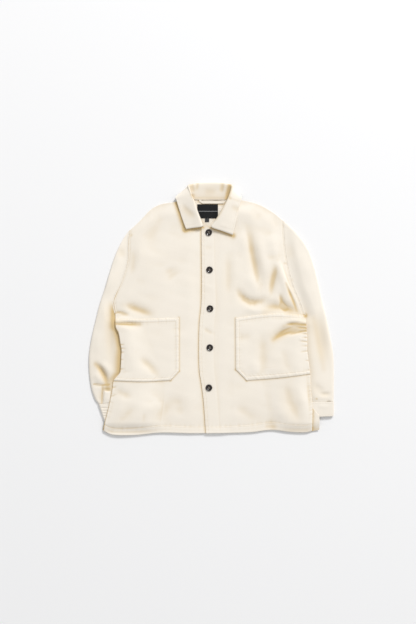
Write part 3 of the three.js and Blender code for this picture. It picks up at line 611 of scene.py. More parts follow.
def resting(piece):
    """Height of a finished piece's upper face, in millimetres, over any plan point."""
    tree = BVHTree.FromPolygons([v.co for v in piece.data.vertices],
                                [p.vertices for p in piece.data.polygons])

    def height(x, y):
        hit = tree.ray_cast((x * MM, y * MM, 1), (0, 0, -1))[0]
        return hit.z / MM if hit else 0.0

    return np.vectorize(height)


def blurred(field, cells):
    """A grid of values smoothed over that many cells."""
    reach = int(3 * cells)
    weights = np.exp(-0.5 * (np.arange(-reach, reach + 1) / cells) ** 2)
    weights /= weights.sum()
    for axis in (0, 1):
        size = field.shape[axis]
        wide = np.pad(field, [(reach, reach) if k == axis else (0, 0) for k in (0, 1)], mode="edge")
        field = sum(w * np.take(wide, range(i, i + size), axis) for i, w in enumerate(weights))
    return field


def groove(distance, at, width=1.1):
    return np.exp(-(((distance - at) / width) ** 2))


def spread(bottom, top, left, right, us, vs):
    """Plan points that fill the space between four edge lines, at shares of them."""
    us = np.concatenate([[0], us, [1]])
    vs = np.concatenate([[0], vs, [1]])
    b, t, l, r = bottom(us), top(us), left(vs), right(vs)
    u = us[None, :, None]
    v = vs[:, None, None]
    points = ((1 - v) * b[None] + v * t[None] + (1 - u) * l[:, None] + u * r[:, None]
              - (1 - u) * (1 - v) * b[0] - u * (1 - v) * b[-1] - (1 - u) * v * t[0] - u * v * t[-1])
    return points[1:-1, 1:-1]


def ticks(length, step, first, last, corners=()):
    """Shares of an edge: close lines in from both ends, even steps between, and its corners."""
    start = np.array(first) / length
    end = 1 - np.array(last)[::-1] / length
    middle = np.linspace(start[-1], end[0], max(2, int(length / step)))[1:-1]
    shares = np.concatenate([start, middle, end, corners])
    shares = np.unique(np.round(shares, 6))
    keep = np.concatenate([[True], np.diff(shares) > 0.25 / length])
    keep[-1] = True
    return shares[keep]


def rim_cells(rows, columns):
    """Rows and columns of the points round a grid's rim, and of the nearest points inside it."""
    ring = np.array([(0, i) for i in range(columns)] + [(j, columns - 1) for j in range(1, rows)]
                    + [(rows - 1, i) for i in range(columns - 2, -1, -1)]
                    + [(j, 0) for j in range(rows - 2, 0, -1)])
    return tuple(ring.T), tuple(np.clip(ring, 1, (rows - 2, columns - 2)).T)


def two_faced(name, top, under, rim, painted_shade, material):
    """A closed wall from its two faces, each a grid of points, and the points round its rim."""
    rows, columns = painted_shade.shape
    size = rows * columns
    edge, _ = rim_cells(rows, columns)
    a = edge[0] * columns + edge[1]
    n = np.arange(len(a))
    m = (n + 1) % len(a)
    faces = np.vstack([
        grid_faces(rows, columns),
        grid_faces(rows, columns, size)[:, ::-1],
        np.stack([a[n], 2 * size + n, 2 * size + m, a[m]], axis=-1),
        np.stack([2 * size + n, size + a[n], size + a[m], 2 * size + m], axis=-1),
    ])
    points = np.vstack([top.reshape(-1, 3), under.reshape(-1, 3), rim])
    return mesh_piece(name, points, faces, material,
                      np.concatenate([painted_shade.ravel(), painted_shade.ravel(), painted_shade[edge]]))


def unit(vectors):
    return vectors / np.maximum(np.linalg.norm(vectors, axis=-1, keepdims=True), 1e-9)


def wall_piece(name, plan, low, high, painted_shade, material=canvas):
    """A closed wall of cloth over a grid of plan points, its rim rounded and painted shade in its hollows."""
    # painted shade where the top lies below its blurred surroundings, in small grooves and in broad hollows
    painted_shade = painted_shade + 0.8 * np.clip(blurred(high, 1.2) - high, 0, 0.4)
    painted_shade = painted_shade + 0.11 * np.clip(blurred(high, 4) - high, 0, 3)
    top, under, middle = (np.dstack([plan, z]) for z in (high, low, (low + high) / 2))
    edge, inner = rim_cells(*low.shape)
    rim = middle[edge]
    pulled_in = unit(plan[inner] - plan[edge]) * (high - low)[edge][:, None] * 0.3
    for layer in (top, under):
        layer[(*edge, slice(2))] += pulled_in
    return two_faced(name, top, under, rim, painted_shade, material)


slit_us = ticks(SLIT_WIDTH, STRIP_THICK, EDGE_LINES, EDGE_LINES)
slit_vs = ticks(SLIT_LENGTH, STRIP_THICK, EDGE_LINES, EDGE_LINES)
slit_plan = spread(*(curve([SLIT_STRIP[a], SLIT_STRIP[b]]) for a, b in ((0, 1), (3, 2), (0, 3), (1, 2))),
                   slit_us, slit_vs)
slit_low = resting(sleeves["sleeve_right"])(slit_plan[..., 0], slit_plan[..., 1]) + 0.1
slit_in = np.minimum(np.minimum(slit_us, 1 - slit_us)[None, :] * SLIT_WIDTH,
                     np.minimum(slit_vs, 1 - slit_vs)[:, None] * SLIT_LENGTH)
slit_high = slit_low + STRIP_THICK - 0.4 * groove(slit_in, 2.2) - 0.8 * (1 - smooth(slit_in / 1.5))
slit = wall_piece("sleeve_slit_strip", slit_plan, slit_low, slit_high, 0.0)


# Back
# The back is one piece. It lies flat on the table, and rises at its sides over the tucked
# sleeves. At the neck it lies over the part of the collar that is folded behind it.
BACK_WIDTH = 650
BODY_LENGTH = 700
BACK_STEP = 6.5
TUCK_EASE = 84.0
TUCK_START = -18.0
TUCK_FULL = -44.0
TUCK_END = -338.0
TUCK_DOWN = -372.0
LAP = 0.5
COLLAR_BED = 3.2
HEM_RISE = 3.0
HEM_RISE_EASE = 11.0
NECK_WAVES = 0.7
VENT_SHARE = 0.1
SIDE_SHARE = 0.62
BACK_NECK_SHARES = (0.28, 0.68)
VENT_RIGHT_Y = -309
VENT_LEFT_Y = -297
BACK_NECK = [(-86, 327), (-45, 325), (0, 324.5), (45, 325.5), (80, 328)]
SHOULDER_RIGHT = [(-245, 234), (-214, 263), (-180, 298), (-152, 312.5), (-108, 320), (-86, 327)]
SHOULDER_LEFT = [(218, 261), (185, 288), (152, 307.5), (125, 317.5), (90, 325), (80, 328)]
HEM_BACK = [
    (-325, -363), (-298, -376), (-232, -378), (-150, -371), (-16, -373),
    (119, -370), (182, -363.5), (236, -369), (284, -369), (323, -363),
]
VENT_LEFT = [(323, -363), (322, -322), (302.5, -297)]
VENT_RIGHT = [(-325, -363), (-318.5, -336), (-311, -309)]
HEM_BACK_LINE = np.array(HEM_BACK, float)
BACK_SHADE_LINES = [
    # painted shade under the hanger loop, along the neck seam and along the sides: points, width and strength
    ([(-42, 325), (-30, 315.5), (0, 313), (40, 313.4)], 3, 0.7),
    ([(-62, 330), (0, 329), (46, 330)], 4, 0.5),
    (SIDE_RIGHT, 5, 0.9),
    (SIDE_LEFT, 5, 0.9),
]


def chain(*parts):
    """Lines end to end, each over its own stretch of the share from 0 to 1."""
    lines = [(curve(points), start, end) for points, start, end in parts]

    def at(share):
        share = np.asarray(share, float)
        result = np.zeros((*share.shape, 2))
        for line, start, end in lines:
            inside = (share >= start - 1e-9) & (share <= end + 1e-9)
            result[inside] = line((share[inside] - start) / (end - start))
        return result

    at.length = sum(line.length for line, _, _ in lines)
    return at


def side_edge(vent, side, armhole):
    """Outer edge of a body panel: its vent, its side seam from there up, and its armhole."""
    seam = [point for point in side if point[1] >= vent[-1][1]]
    return chain((vent, 0, VENT_SHARE), (seam, VENT_SHARE, SIDE_SHARE), (armhole, SIDE_SHARE, 1))


def inner_edges(*tables):
    """Heights and distances from the middle of the tucked inner edges, lowest first."""
    rows = [row for table in tables for row in table]
    return np.array(sorted((y, abs(x)) for x, y, _, _ in rows), float)


TUCKED = [inner_edges(SLEEVE_RIGHT_ROWS, CUFF_RIGHT_ROWS), inner_edges(SLEEVE_LEFT_ROWS, CUFF_LEFT_ROWS)]


def back_lift(x, y):
    """How far the tucked sleeves and the folded collar lift the back off the table, and its hem rises."""
    right, left = (np.interp(y, edge[:, 0], edge[:, 1]) for edge in TUCKED)
    inner = np.where(x < 0, right, left)
    over = 1 - smooth((inner - np.abs(x)) / TUCK_EASE)
    climb = smooth((TUCK_START - y) / (TUCK_START - TUCK_FULL))
    fall = smooth((y - TUCK_DOWN) / (TUCK_END - TUCK_DOWN))
    cuffs = smooth((-y - 240) / 40)
    sleeve = (SLEEVE_HEIGHT + (CUFF_HEIGHT - SLEEVE_HEIGHT) * cuffs + LAP) * over * climb * fall
    bed = smooth((y - 238) / 60) * smooth((160 - np.abs(x)) / 55)
    above_hem = y - np.interp(x, HEM_BACK_LINE[:, 0], HEM_BACK_LINE[:, 1])
    fade = np.exp(-np.maximum(above_hem, 0) / HEM_RISE_EASE)
    rise = HEM_RISE * (0.75 + 0.5 * waviness(x, y, 33, 90)) * fade
    return np.maximum(sleeve, COLLAR_BED * bed) + rise


def back_top(x, y):
    """Upper face of the back; inside the neck it lies in slight waves."""
    shown = smooth((y - 235) / 20) * smooth((70 - np.abs(x + 8)) / 20)
    return back_lift(x, y) + CLOTH + shown * NECK_WAVES * (0.8 + waviness(x, y, 31, 22))


neck_start, neck_end = BACK_NECK_SHARES
back_us = ticks(BACK_WIDTH, BACK_STEP, (0, 1, 3), (0, 1, 3), BACK_NECK_SHARES)
back_vs = ticks(BODY_LENGTH, BACK_STEP, (0, 1, 3), (0, 1, 3), (VENT_SHARE, SIDE_SHARE))
back_plan = spread(
    curve(HEM_BACK),
    chain((SHOULDER_RIGHT, 0, neck_start), (BACK_NECK, neck_start, neck_end),
          (SHOULDER_LEFT[::-1], neck_end, 1)),
    side_edge(VENT_RIGHT, SIDE_RIGHT, ARMHOLE_RIGHT), side_edge(VENT_LEFT, SIDE_LEFT, ARMHOLE_LEFT),
    back_us, back_vs)
back_x, back_y = back_plan[..., 0], back_plan[..., 1]
# a slight even warmth of tone, plus painted shade along the back's shade lines
back = wall_piece("back_cloth", back_plan, back_lift(back_x, back_y), back_top(back_x, back_y),
                  0.03 + shade_lines(BACK_SHADE_LINES, back_x, back_y))
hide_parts("back_panel")


# Fronts
# The two fronts lie over the back and are sewn to it at the shoulders and sides. The left
# front laps over the right one, and its edge and hem are turned back and topstitched.
FRONT_WIDTH = 320
FRONT_STEP = 3.4
FRONT_NECK_SHARE = 0.5
FRONT_PUFF = 4.6
SEAM_GAP = 0.35
EDGE_EASE = 46.0
CENTRE_UNDER = 18.0
HEM_DEPTH = 20.0
HEM_ROW = 18.8
EDGE_ROWS = (2.2, 7.5)
ARMHOLE_SEWING = (1.8, 7.6)
BAND_IN = 26.0
BAND_OUT = 66.0
CONTACT_SHADE = 0.6
SEAM_ROLL_WIDE = 1.15
SEAM_ROLL = 0.25
ROLL_SIDES = 10
SEAM_LINES = (0, 0.8, 1.6, 2.6, 4.0, 5.6, 7.0, 8.4, 10.5)
HEM_LINES_IN = (0, 0.8, 1.8, 4, 7, 10, 13, 16, 18.2, 19.4, 20.4, 21.4, 23, 26)
NECKLINE_RIGHT = [(18, 243), (-22, 245), (-42, 262), (-62, 285), (-77, 308), (-86, 327)]
NECKLINE_LEFT = [(-29.7, 245), (2, 245), (28, 262), (50, 289), (68, 312), (80, 328)]
HEM_FRONT_RIGHT = [(-323, -366), (-298, -376.5), (-232, -378.5), (-150, -371), (-60, -373), (18, -372)]
HEM_FRONT_LEFT = [(-16, -373), (60, -372), (119, -369.6), (182, -362.6),
                  (236, -369), (284, -370), (301.5, -366)]
PLACKET = [(-16, -373), (-24, -267), (-30, -222), (-35.5, -183), (-35.5, -48), (-29.5, 18), (-29.7, 245)]
FOLDS = [
    # from x, y, by way of x, y, to x, y, width on each side, height
    # wearer's left front
    (50, 180, 50, 100, 51, 22, 14, 14, -2.4),
    (104, 268, 126, 150, 154, 20, 15, 12, -4.2),
    (132, 240, 152, 150, 172, 70, 20, 20, 2.2),
    (70, 80, 113, 22, 186, 40, 12, 13, -5.0),
    (98, 110, 128, 72, 160, 66, 22, 20, 2.4),
    (200, 140, 184, 84, 180, 24, 11, 13, -4.2),
    (140, 4, 206, 6, 300, -18, 15, 13, -4.2),
    (202, 150, 224, 84, 268, -14, 4.5, 15, 6.0),
    (222, 78, 242, 34, 260, -8, 4.5, 5, -6.0),
    (200, 54, 212, 18, 226, -20, 8, 7, -3.4),
    (214, 138, 222, 136, 230, 137, 3, 4, -2.0),
    (176, 230, 182, 186, 186, 150, 22, 22, 2.4),
    (146, 240, 150, 160, 166, 100, 18, 18, 1.8),
    (170, -102, 232, -66, 330, -42, 14, 10, -6.6),
    (214, -50, 256, -44, 330, -46, 6, 5, -3.6),
    (226, -80, 262, -71, 330, -60, 5, 4, -3.0),
    (258, -88, 270, -90, 286, -90, 6, 5, 1.8),
    (150, -56, 154, -130, 152, -206, 17, 17, -2.1),
    (216, -104, 224, -160, 240, -208, 16, 16, -1.6),
    (70, -80, 98, -84, 130, -76, 14, 14, -1.2),
    (128, -150, 130, -176, 128, -200, 14, 14, 1.2),
    (214, -196, 240, -284, 276, -372, 18, 20, -3.5),
    (262, -222, 282, -284, 300, -340, 14, 14, 2.2),
    (184, -240, 204, -300, 230, -352, 24, 20, 1.8),
    (64, -276, 106, -316, 156, -346, 19, 19, -1.5),
    (154, -348, 176, -354, 204, -360, 14, 8, -3.4),
    (290, -204, 293, -250, 297, -300, 6, 5, -3.6),
    (114, 308, 132, 286, 156, 254, 15, 15, -1.5),
    (178, 286, 192, 262, 206, 226, 14, 14, -1.1),
    (88, 240, 96, 200, 104, 160, 16, 16, 1.4),
    (92, 6, 130, -6, 176, -6, 9, 9, 1.4),
    # wearer's right front
    (-140, 306, -170, 246, -204, 180, 20, 20, -1.9),
    (-132, 130, -121, 106, -106, 84, 20, 20, -1.6),
    (-272, 16, -218, -3, -164, -22, 14, 12, -3.6),
    (-310, -4, -272, -13, -240, -18, 6, 7, -3.4),
    (-330, -34, -256, -43, -196, -48, 8, 11, -4.6),
    (-226, -140, -186, -170, -150, -214, 13, 13, -2.6),
    (-298, -234, -266, -254, -226, -264, 13, 15, -1.8),
    (-92, -258, -140, -302, -196, -362, 20, 20, -1.9),
    (-222, -282, -258, -322, -304, -366, 15, 17, -2.1),
    (-200, -306, -202, -330, -206, -362, 8, 8, -1.3),
    (-150, -270, -172, -292, -200, -318, 20, 20, 1.8),
    (-70, 150, -64, 60, -66, -20, 26, 26, 1.2),
    (-190, 200, -196, 140, -206, 80, 30, 30, 2.0),
    (-238, 190, -236, 140, -246, 80, 12, 14, -2.0),
    (-262, -96, -254, -130, -262, -168, 12, 12, 1.4),
    (-104, -250, -96, -290, -96, -330, 18, 18, -1.4),
    (-28, -56, -8, -68, 16, -80, 7, 7, -1.4),
    (-24, 190, -8, 182, 14, 186, 9, 9, -0.8),
    (-30, 80, -10, 66, 16, 58, 8, 8, 0.8),
]
SEAM_PUCKERS = [
    # side of the body, y at the side seam, how far it reaches in, slope, width, depth
    (1, -48, 70, 0.05, 2.6, 2.4),
    (1, -59, 46, 0.16, 2.2, 1.9),
    (1, -66, 40, -0.10, 2.4, 1.7),
    (1, -76, 30, 0.12, 2.0, 1.4),
    (1, -86, 26, -0.06, 2.0, 1.2),
    (1, -99, 32, 0.14, 2.2, 1.3),
    (1, -111, 24, 0.05, 2.0, 1.0),
    (1, -126, 30, -0.12, 2.2, 1.0),
    (1, -155, 18, 0.1, 2.2, 0.8),
    (1, -183, 16, 0.0, 2.2, 0.7),
    (-1, -12, 36, 0.1, 2.6, 1.4),
    (-1, -45, 66, -0.04, 2.8, 2.0),
    (-1, -108, 16, 0.1, 2.0, 1.4),
    (-1, -118, 18, -0.1, 2.0, 1.2),
    (-1, -131, 14, 0.1, 2.0, 1.2),
    (-1, -152, 12, 0.0, 2.0, 0.9),
    (-1, -181, 16, 0.1, 2.2, 1.0),
    (-1, -236, 18, 0.3, 2.6, 0.9),
    (-1, -262, 22, 0.35, 2.8, 0.9),
]
# edges of the pockets, beside which painted contact shade falls
CONTACT_LINES = [
    [(-291, -215), (-200, -218), (-122, -214.5)],
    [(-122, -214.5), (-97, -187)],
    [(-97, -187), (-97, -27)],
    [(105.5, -215), (200, -207), (294.5, -195)],
    [(105.5, -215), (73, -182)],
    [(73, -182), (72, -28.5)],
]
# edges of the collar's leaves, under which painted shadow falls on the fronts
COLLAR_EDGES = [
    [(-105, 316), (-97, 292), (-88, 264), (-78, 237)],
    [(-78, 236), (-50, 239.5), (-26, 246)],
    [(66, 218), (40, 229), (0, 245)],
]
FRONT_SHADE_LINES = [
    # points of a closed crease, its width and strength
    ([(160, -10), (205, 2), (258, -14)], 12, 0.26),
    ([(210, 30), (222, 6), (236, -8)], 9, 0.2),
    ([(224, 76), (240, 30), (256, -6)], 4, 0.4),
    ([(186, -94), (226, -70), (290, -58)], 10, 0.34),
    ([(216, -52), (252, -46), (290, -48)], 5, 0.26),
    ([(-290, -40), (-258, -43), (-214, -46)], 6, 0.3),
    ([(-262, 10), (-218, -4), (-178, -16)], 11, 0.12),
]
SHOULDERS = [np.array(SHOULDER_RIGHT, float), np.array(SHOULDER_LEFT[::-1], float)]
HEM_LINES = np.array(HEM_FRONT_RIGHT[:-1] + HEM_FRONT_LEFT[1:], float)
# painted shade along the armhole seams, beside the pocket edges and under the collar's edges: line, width and
# strength
PAINTED_EDGE_SHADE_LINES = ([(line, 3, 0.14) for line in (ARMHOLE_RIGHT, ARMHOLE_LEFT)]
                 + [(line, 3.5, CONTACT_SHADE) for line in CONTACT_LINES]
                 + [(line, 7.5, 1.15) for line in COLLAR_EDGES])


def inside_side(x, y):
    return np.abs(body_side(x, y)) - np.abs(x)


def seam_puckers(x, y):
    """Depth of the short sharp wrinkles that run in from the side seams."""
    inside = inside_side(x, y)
    depth = np.zeros(np.shape(x))
    for side, seam_y, reach, slope, width, deep in SEAM_PUCKERS:
        off = (y - seam_y - slope * inside) / (width + inside * 0.03)
        depth = depth + deep * np.exp(-(off**2)) * (1 - smooth(inside / reach)) * (np.sign(x) == side)
    return depth


def seam_room(x, y):
    """How full the cloth is beside the puckered stretches of the side seams, from 0 to 1."""
    inside = inside_side(x, y)
    left = smooth((-y - 30) / 14) * smooth((y + 200) / 60) * (x > 0)
    right = 0.5 * smooth((-y - 4) / 14) * smooth((y + 200) / 30) * (x < 0)
    return (left + right) * np.exp(-((inside / 30) ** 2)) * smooth((inside + 3) / 7)


def pucker(run, seed, size):
    """Uneven gathers along a sewn line, from -1 to 1, for lengths along it."""
    draw = np.random.default_rng(seed)
    total = np.zeros(np.shape(run))
    for share in (0.8, 1.17, 1.9, 3.1):
        total = total + np.sin(run * math.tau / (size * share) + draw.uniform(0, math.tau))
    return total / 3


def front_under(x, y, laps):
    """Underside of a front, over the back and, along the buttons, over the other front."""
    right, left = (np.interp(x, line[:, 0], line[:, 1]) for line in SHOULDERS)
    inside_shoulder = np.where(x < 0, right, left) - y
    inside_hem = y - np.interp(x, HEM_LINES[:, 0], HEM_LINES[:, 1])
    side = smooth(inside_side(x, y) / EDGE_EASE + 0.12)
    shoulder = smooth(inside_shoulder / EDGE_EASE + 0.1)
    hem = 0.2 + 0.8 * smooth(inside_hem / 60)
    lift = FRONT_PUFF + waviness(x, y, 41, 60) * 0.9 + waviness(x, y, 42, 24) * 0.22
    band = 1 - smooth((x - BAND_IN) / (BAND_OUT - BAND_IN)) if laps else 0
    flat = 1 - 0.72 * smooth((75 - np.abs(x)) / 60)
    folded = fold_height(FOLDS, x, y) * (0.4 + 0.6 * flat)
    puff = np.maximum(0.05, lift * flat + folded) * side * shoulder * hem
    puff = np.maximum(puff + 1.6 * seam_room(x, y) - seam_puckers(x, y), 0.05)
    return back_lift(x, y) + CLOTH + SEAM_GAP + puff + band * (CLOTH + LAP)


def front_shade(x, y):
    # painted shade: the troughs, the puckers, pinched spots, closed creases, and the rim along the wearer's
    # right side seam, which lies in shadow
    side_rim_shade = 0.8 * (x < 0) * np.exp(-((inside_side(x, y) / 1.6) ** 2))
    return (trough_shade(FOLDS, x, y) + 0.22 * seam_puckers(x, y) + shade_dots(x, y) + side_rim_shade
            + shade_lines(FRONT_SHADE_LINES, x, y))


def front_surface(edges, laps, seed):
    """Plan, underside and top of a front over shares of its edges. The lapping one is turned back."""

    def at(us, vs):
        plan = spread(*edges, us, vs)
        low = front_under(plan[..., 0], plan[..., 1], laps)
        up = vs[:, None] * BODY_LENGTH
        across = us[None, :] * FRONT_WIDTH
        from_side = FRONT_WIDTH - across if laps else across
        armhole = vs[:, None] > SIDE_SHARE
        high = low + CLOTH + 0.9 * (1 - smooth((up - HEM_DEPTH) / 1.2))
        high = high - 0.55 * groove(up, HEM_ROW) - 0.6 * (1 - smooth(up / 2.5))
        high = high - np.where(armhole, 0.2, 0.8) * (1 - smooth(from_side / 3))
        high = high + 0.22 * pucker(across, seed, 17) * np.exp(-(((up - HEM_DEPTH) / 10) ** 2))
        high = high + np.where(armhole, 0.35, 0.5) * pucker(up, seed + 1, 9) * np.exp(-(from_side / 9) ** 2)
        high = high - 0.5 * armhole * sum(groove(from_side, row) for row in ARMHOLE_SEWING)
        if laps:
            high = high + 0.5 * (1 - smooth((across - 38) / 3))
            high = high - 0.5 * groove(across, EDGE_ROWS[0]) - 0.45 * groove(across, EDGE_ROWS[1])
            high = high + 0.22 * pucker(up, seed + 2, 13) * np.exp(-((across / 12) ** 2))
        return plan, low, high

    return at


vent_right = [point for point in SIDE_RIGHT if point[1] <= VENT_RIGHT_Y]
vent_left = [point for point in SIDE_LEFT if point[1] <= VENT_LEFT_Y]
front_right_surface = front_surface(
    (curve(HEM_FRONT_RIGHT),
     chain((SHOULDER_RIGHT, 0, FRONT_NECK_SHARE), (NECKLINE_RIGHT[::-1], FRONT_NECK_SHARE, 1)),
     side_edge(vent_right, SIDE_RIGHT, ARMHOLE_RIGHT),
     curve([(CENTRE_UNDER, -372), (CENTRE_UNDER, 243)])), False, 51)
front_left_surface = front_surface(
    (curve(HEM_FRONT_LEFT),
     chain((NECKLINE_LEFT, 0, FRONT_NECK_SHARE), (SHOULDER_LEFT[::-1], FRONT_NECK_SHARE, 1)),
     curve(PLACKET), side_edge(vent_left, SIDE_LEFT, ARMHOLE_LEFT)), True, 61)
front_us = ticks(FRONT_WIDTH, FRONT_STEP, SEAM_LINES, SEAM_LINES, (FRONT_NECK_SHARE,))
front_vs = ticks(BODY_LENGTH, FRONT_STEP, HEM_LINES_IN, (0, 0.8, 2, 4), (VENT_SHARE, SIDE_SHARE))
# the right front also gets painted shade beside the left front's placket edge, which shadows it
for node, surface, own_shade_lines in (("front_right", front_right_surface, [(PLACKET, 4, 0.9)]),
                                 ("front_left", front_left_surface, [])):
    plan, low, high = surface(front_us, front_vs)
    x, y = plan[..., 0], plan[..., 1]
    shade = front_shade(x, y) + shade_lines(PAINTED_EDGE_SHADE_LINES + own_shade_lines, x, y)
    front = wall_piece(node + "_cloth", plan, low, high, shade)
    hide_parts(node)


def sewn_line(surface, us, vs):
    """Points of a sewn line on a surface: one of us and vs is a run of shares, the other a single share."""
    plan, _, high = surface(np.atleast_1d(us), np.atleast_1d(vs))
    return np.dstack([plan, high]).reshape(-1, 3)


armhole_run = np.linspace(SIDE_SHARE, 0.998, 200)
stitches("stitching_hem", [
    sewn_line(front_right_surface, np.linspace(0.004, 0.86, 200), HEM_ROW / BODY_LENGTH),
    sewn_line(front_left_surface, np.linspace(0.004, 0.996, 200), HEM_ROW / BODY_LENGTH),
])
stitches("stitching_placket", [
    sewn_line(front_left_surface, row / FRONT_WIDTH, np.linspace(first, last, 500))
    for row, first, last in zip(EDGE_ROWS, (0.004, 0.03), (0.996, 0.985))
])
stitches("stitching_armholes",
         [sewn_line(front_right_surface, row / FRONT_WIDTH, armhole_run) for row in ARMHOLE_SEWING]
         + [sewn_line(front_left_surface, 1 - row / FRONT_WIDTH, armhole_run) for row in ARMHOLE_SEWING])


def swept_tube(line, aside, wide, high, sides, start=0):
    """Points and faces of a closed tube along a line, wide to each side and high above and below."""
    up = np.cross(aside, unit(np.gradient(line, axis=0)))
    spin = (np.arange(sides) * math.tau / sides)[None, :, None]
    ring = line[:, None] + wide * np.cos(spin) * aside[:, None] + high * np.sin(spin) * up[:, None]
    return ring.reshape(-1, 3), closed_tube(len(line), sides, start)


def seam_roll(name, line):
    """The rolled edge of a seam: a thin flattened roll of cloth along a line of points."""
    aside = unit(np.cross(np.gradient(line, axis=0), (0, 0, 1)))
    roll = mesh_piece(name, *swept_tube(line, aside, SEAM_ROLL_WIDE, SEAM_ROLL, ROLL_SIDES), canvas)


armhole_shares = SIDE_SHARE + (1 - SIDE_SHARE) * np.linspace(0.004, 0.992, 120)
for side, surface, share, out in (("right", front_right_surface, 0, -1), ("left", front_left_surface, 1, 1)):
    edge = sewn_line(surface, share, armhole_shares)
    middle = edge[:, 0] + out * SLEEVE_SEAM_GAP / 2
    highest = np.maximum(resting(sleeves["sleeve_" + side])(middle + out * 0.6, edge[:, 1]), edge[:, 2])
    seam_roll("armhole_seam_" + side, np.stack([middle, edge[:, 1], highest + SEAM_ROLL + 0.08], axis=-1))
for side, seam in (("right", [(-66, 325.6), (-52, 324.6), (-41, 324.3)]),
                   ("left", [(-24, 324.1), (0, 324), (26, 324.1), (48, 324.6), (60, 325.6)])):
    plan = curve(seam)(np.linspace(0, 1, 60))
    height = back_top(plan[:, 0], plan[:, 1]) + SEAM_ROLL + 0.1
    seam_roll("neck_seam_" + side, np.column_stack([plan, height]))


# Pockets
# Two patch pockets with a cut-off inner corner, let into the side seams. Their edges are
# turned under and sewn down in two rows, and the mouth has a narrow turned-over hem.
POCKET_CLOTH = 1.3
POCKET_WIDTH = 195
POCKET_LENGTH = 187
POCKET_STEP = 3.2
POCKET_ROWS = (2.0, 10.8)
POCKET_RIGHT = (
    [(-291, -215), (-200, -218), (-122, -214.5)],
    [(-287, -31), (-190, -30.5), (-97, -27)],
    [(-291.6, -215), (-269.5, -123), (-287, -31)],
    [(-122, -214.5), (-97, -187), (-97, -27)],
)
POCKET_LEFT = (
    [(105.5, -215), (200, -207), (294.5, -195)],
    [(72, -28.5), (182, -14.5), (281.5, -19)],
    [(105.5, -215), (73, -182), (72, -28.5)],
    [(294.5, -195), (286.6, -100), (281.5, -19)],
)
CHAMFER_SHARE = 0.16
POCKET_LINES = (0, 0.7, 1.4, 2.0, 2.8, 4.2, 6, 8, 9.8, 10.8, 11.8, 13, 14.4, 16.5)


def pocket_surface(edges, laps, seed):
    """Plan, underside and top of a pocket over shares of its edges, the outer one let into the side seam."""
    bottom, top, left, right = edges
    inner, outer, side = (left, right, SIDE_LEFT) if laps else (right, left, SIDE_RIGHT)
    heights = np.linspace(outer[0][1], outer[-1][1], 9)
    side_x, side_y = np.array(side, float).T
    outer = curve(np.column_stack([np.interp(heights, side_y, side_x) * 0.9985, heights]))
    inner = chain((inner[:2], 0, CHAMFER_SHARE), (inner[1:], CHAMFER_SHARE, 1))
    edges = (curve(bottom), curve(top), *((inner, outer) if laps else (outer, inner)))

    def at(us, vs):
        plan = spread(*edges, us, vs)
        across, up = np.meshgrid(us * POCKET_WIDTH, vs * POCKET_LENGTH)
        from_inner = across if laps else POCKET_WIDTH - across
        from_end = np.minimum(up, POCKET_LENGTH - up)
        rim = np.minimum(from_end, from_inner)
        low = front_under(plan[..., 0], plan[..., 1], laps) + CLOTH + 0.25
        high = low + POCKET_CLOTH + 0.7 * smooth(rim / 30) + 0.75 * (1 - smooth((rim - 12.2) / 1.2))
        high = high - 0.45 * groove(rim, POCKET_ROWS[0]) - 0.9 * groove(rim, POCKET_ROWS[1], 1.5)
        ripple = pucker(np.where(from_end < from_inner, across, up), seed, 10)
        high = high + 0.38 * ripple * np.exp(-(((rim - 5) / 9) ** 2)) - 1.1 * (1 - smooth(rim / 2.2))
        return plan, low, high

    return at


pocket_us = ticks(POCKET_WIDTH, POCKET_STEP, POCKET_LINES, POCKET_LINES)
pocket_vs = ticks(POCKET_LENGTH, POCKET_STEP, POCKET_LINES, POCKET_LINES, (CHAMFER_SHARE,))
run = np.linspace(0.006, 0.994, 160)
for name, edges, laps, seed, flat, cut in (
    ("pocket_right", POCKET_RIGHT, False, 71, (0.190, 0.190), 0.034),
    ("pocket_left", POCKET_LEFT, True, 72, (0.215, 0.197), 0.039),
):
    surface = pocket_surface(edges, laps, seed)
    plan, low, high = surface(pocket_us, pocket_vs)
    # the pockets take the fronts' painted shade
    pocket = wall_piece(name + "_cloth", plan, low, high, front_shade(plan[..., 0], plan[..., 1]))
    rows = []
    for inset in POCKET_ROWS:
        across, up = inset / POCKET_WIDTH, inset / POCKET_LENGTH
        inner_run = run[run > across] if laps else run[run < 1 - across]
        rows += [sewn_line(surface, across if laps else 1 - across, run[(run > up) & (run < 1 - up)]),
                 sewn_line(surface, inner_run, up), sewn_line(surface, inner_run, 1 - up)]
    sewing = stitches("stitching_" + name, rows)
    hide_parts(name)


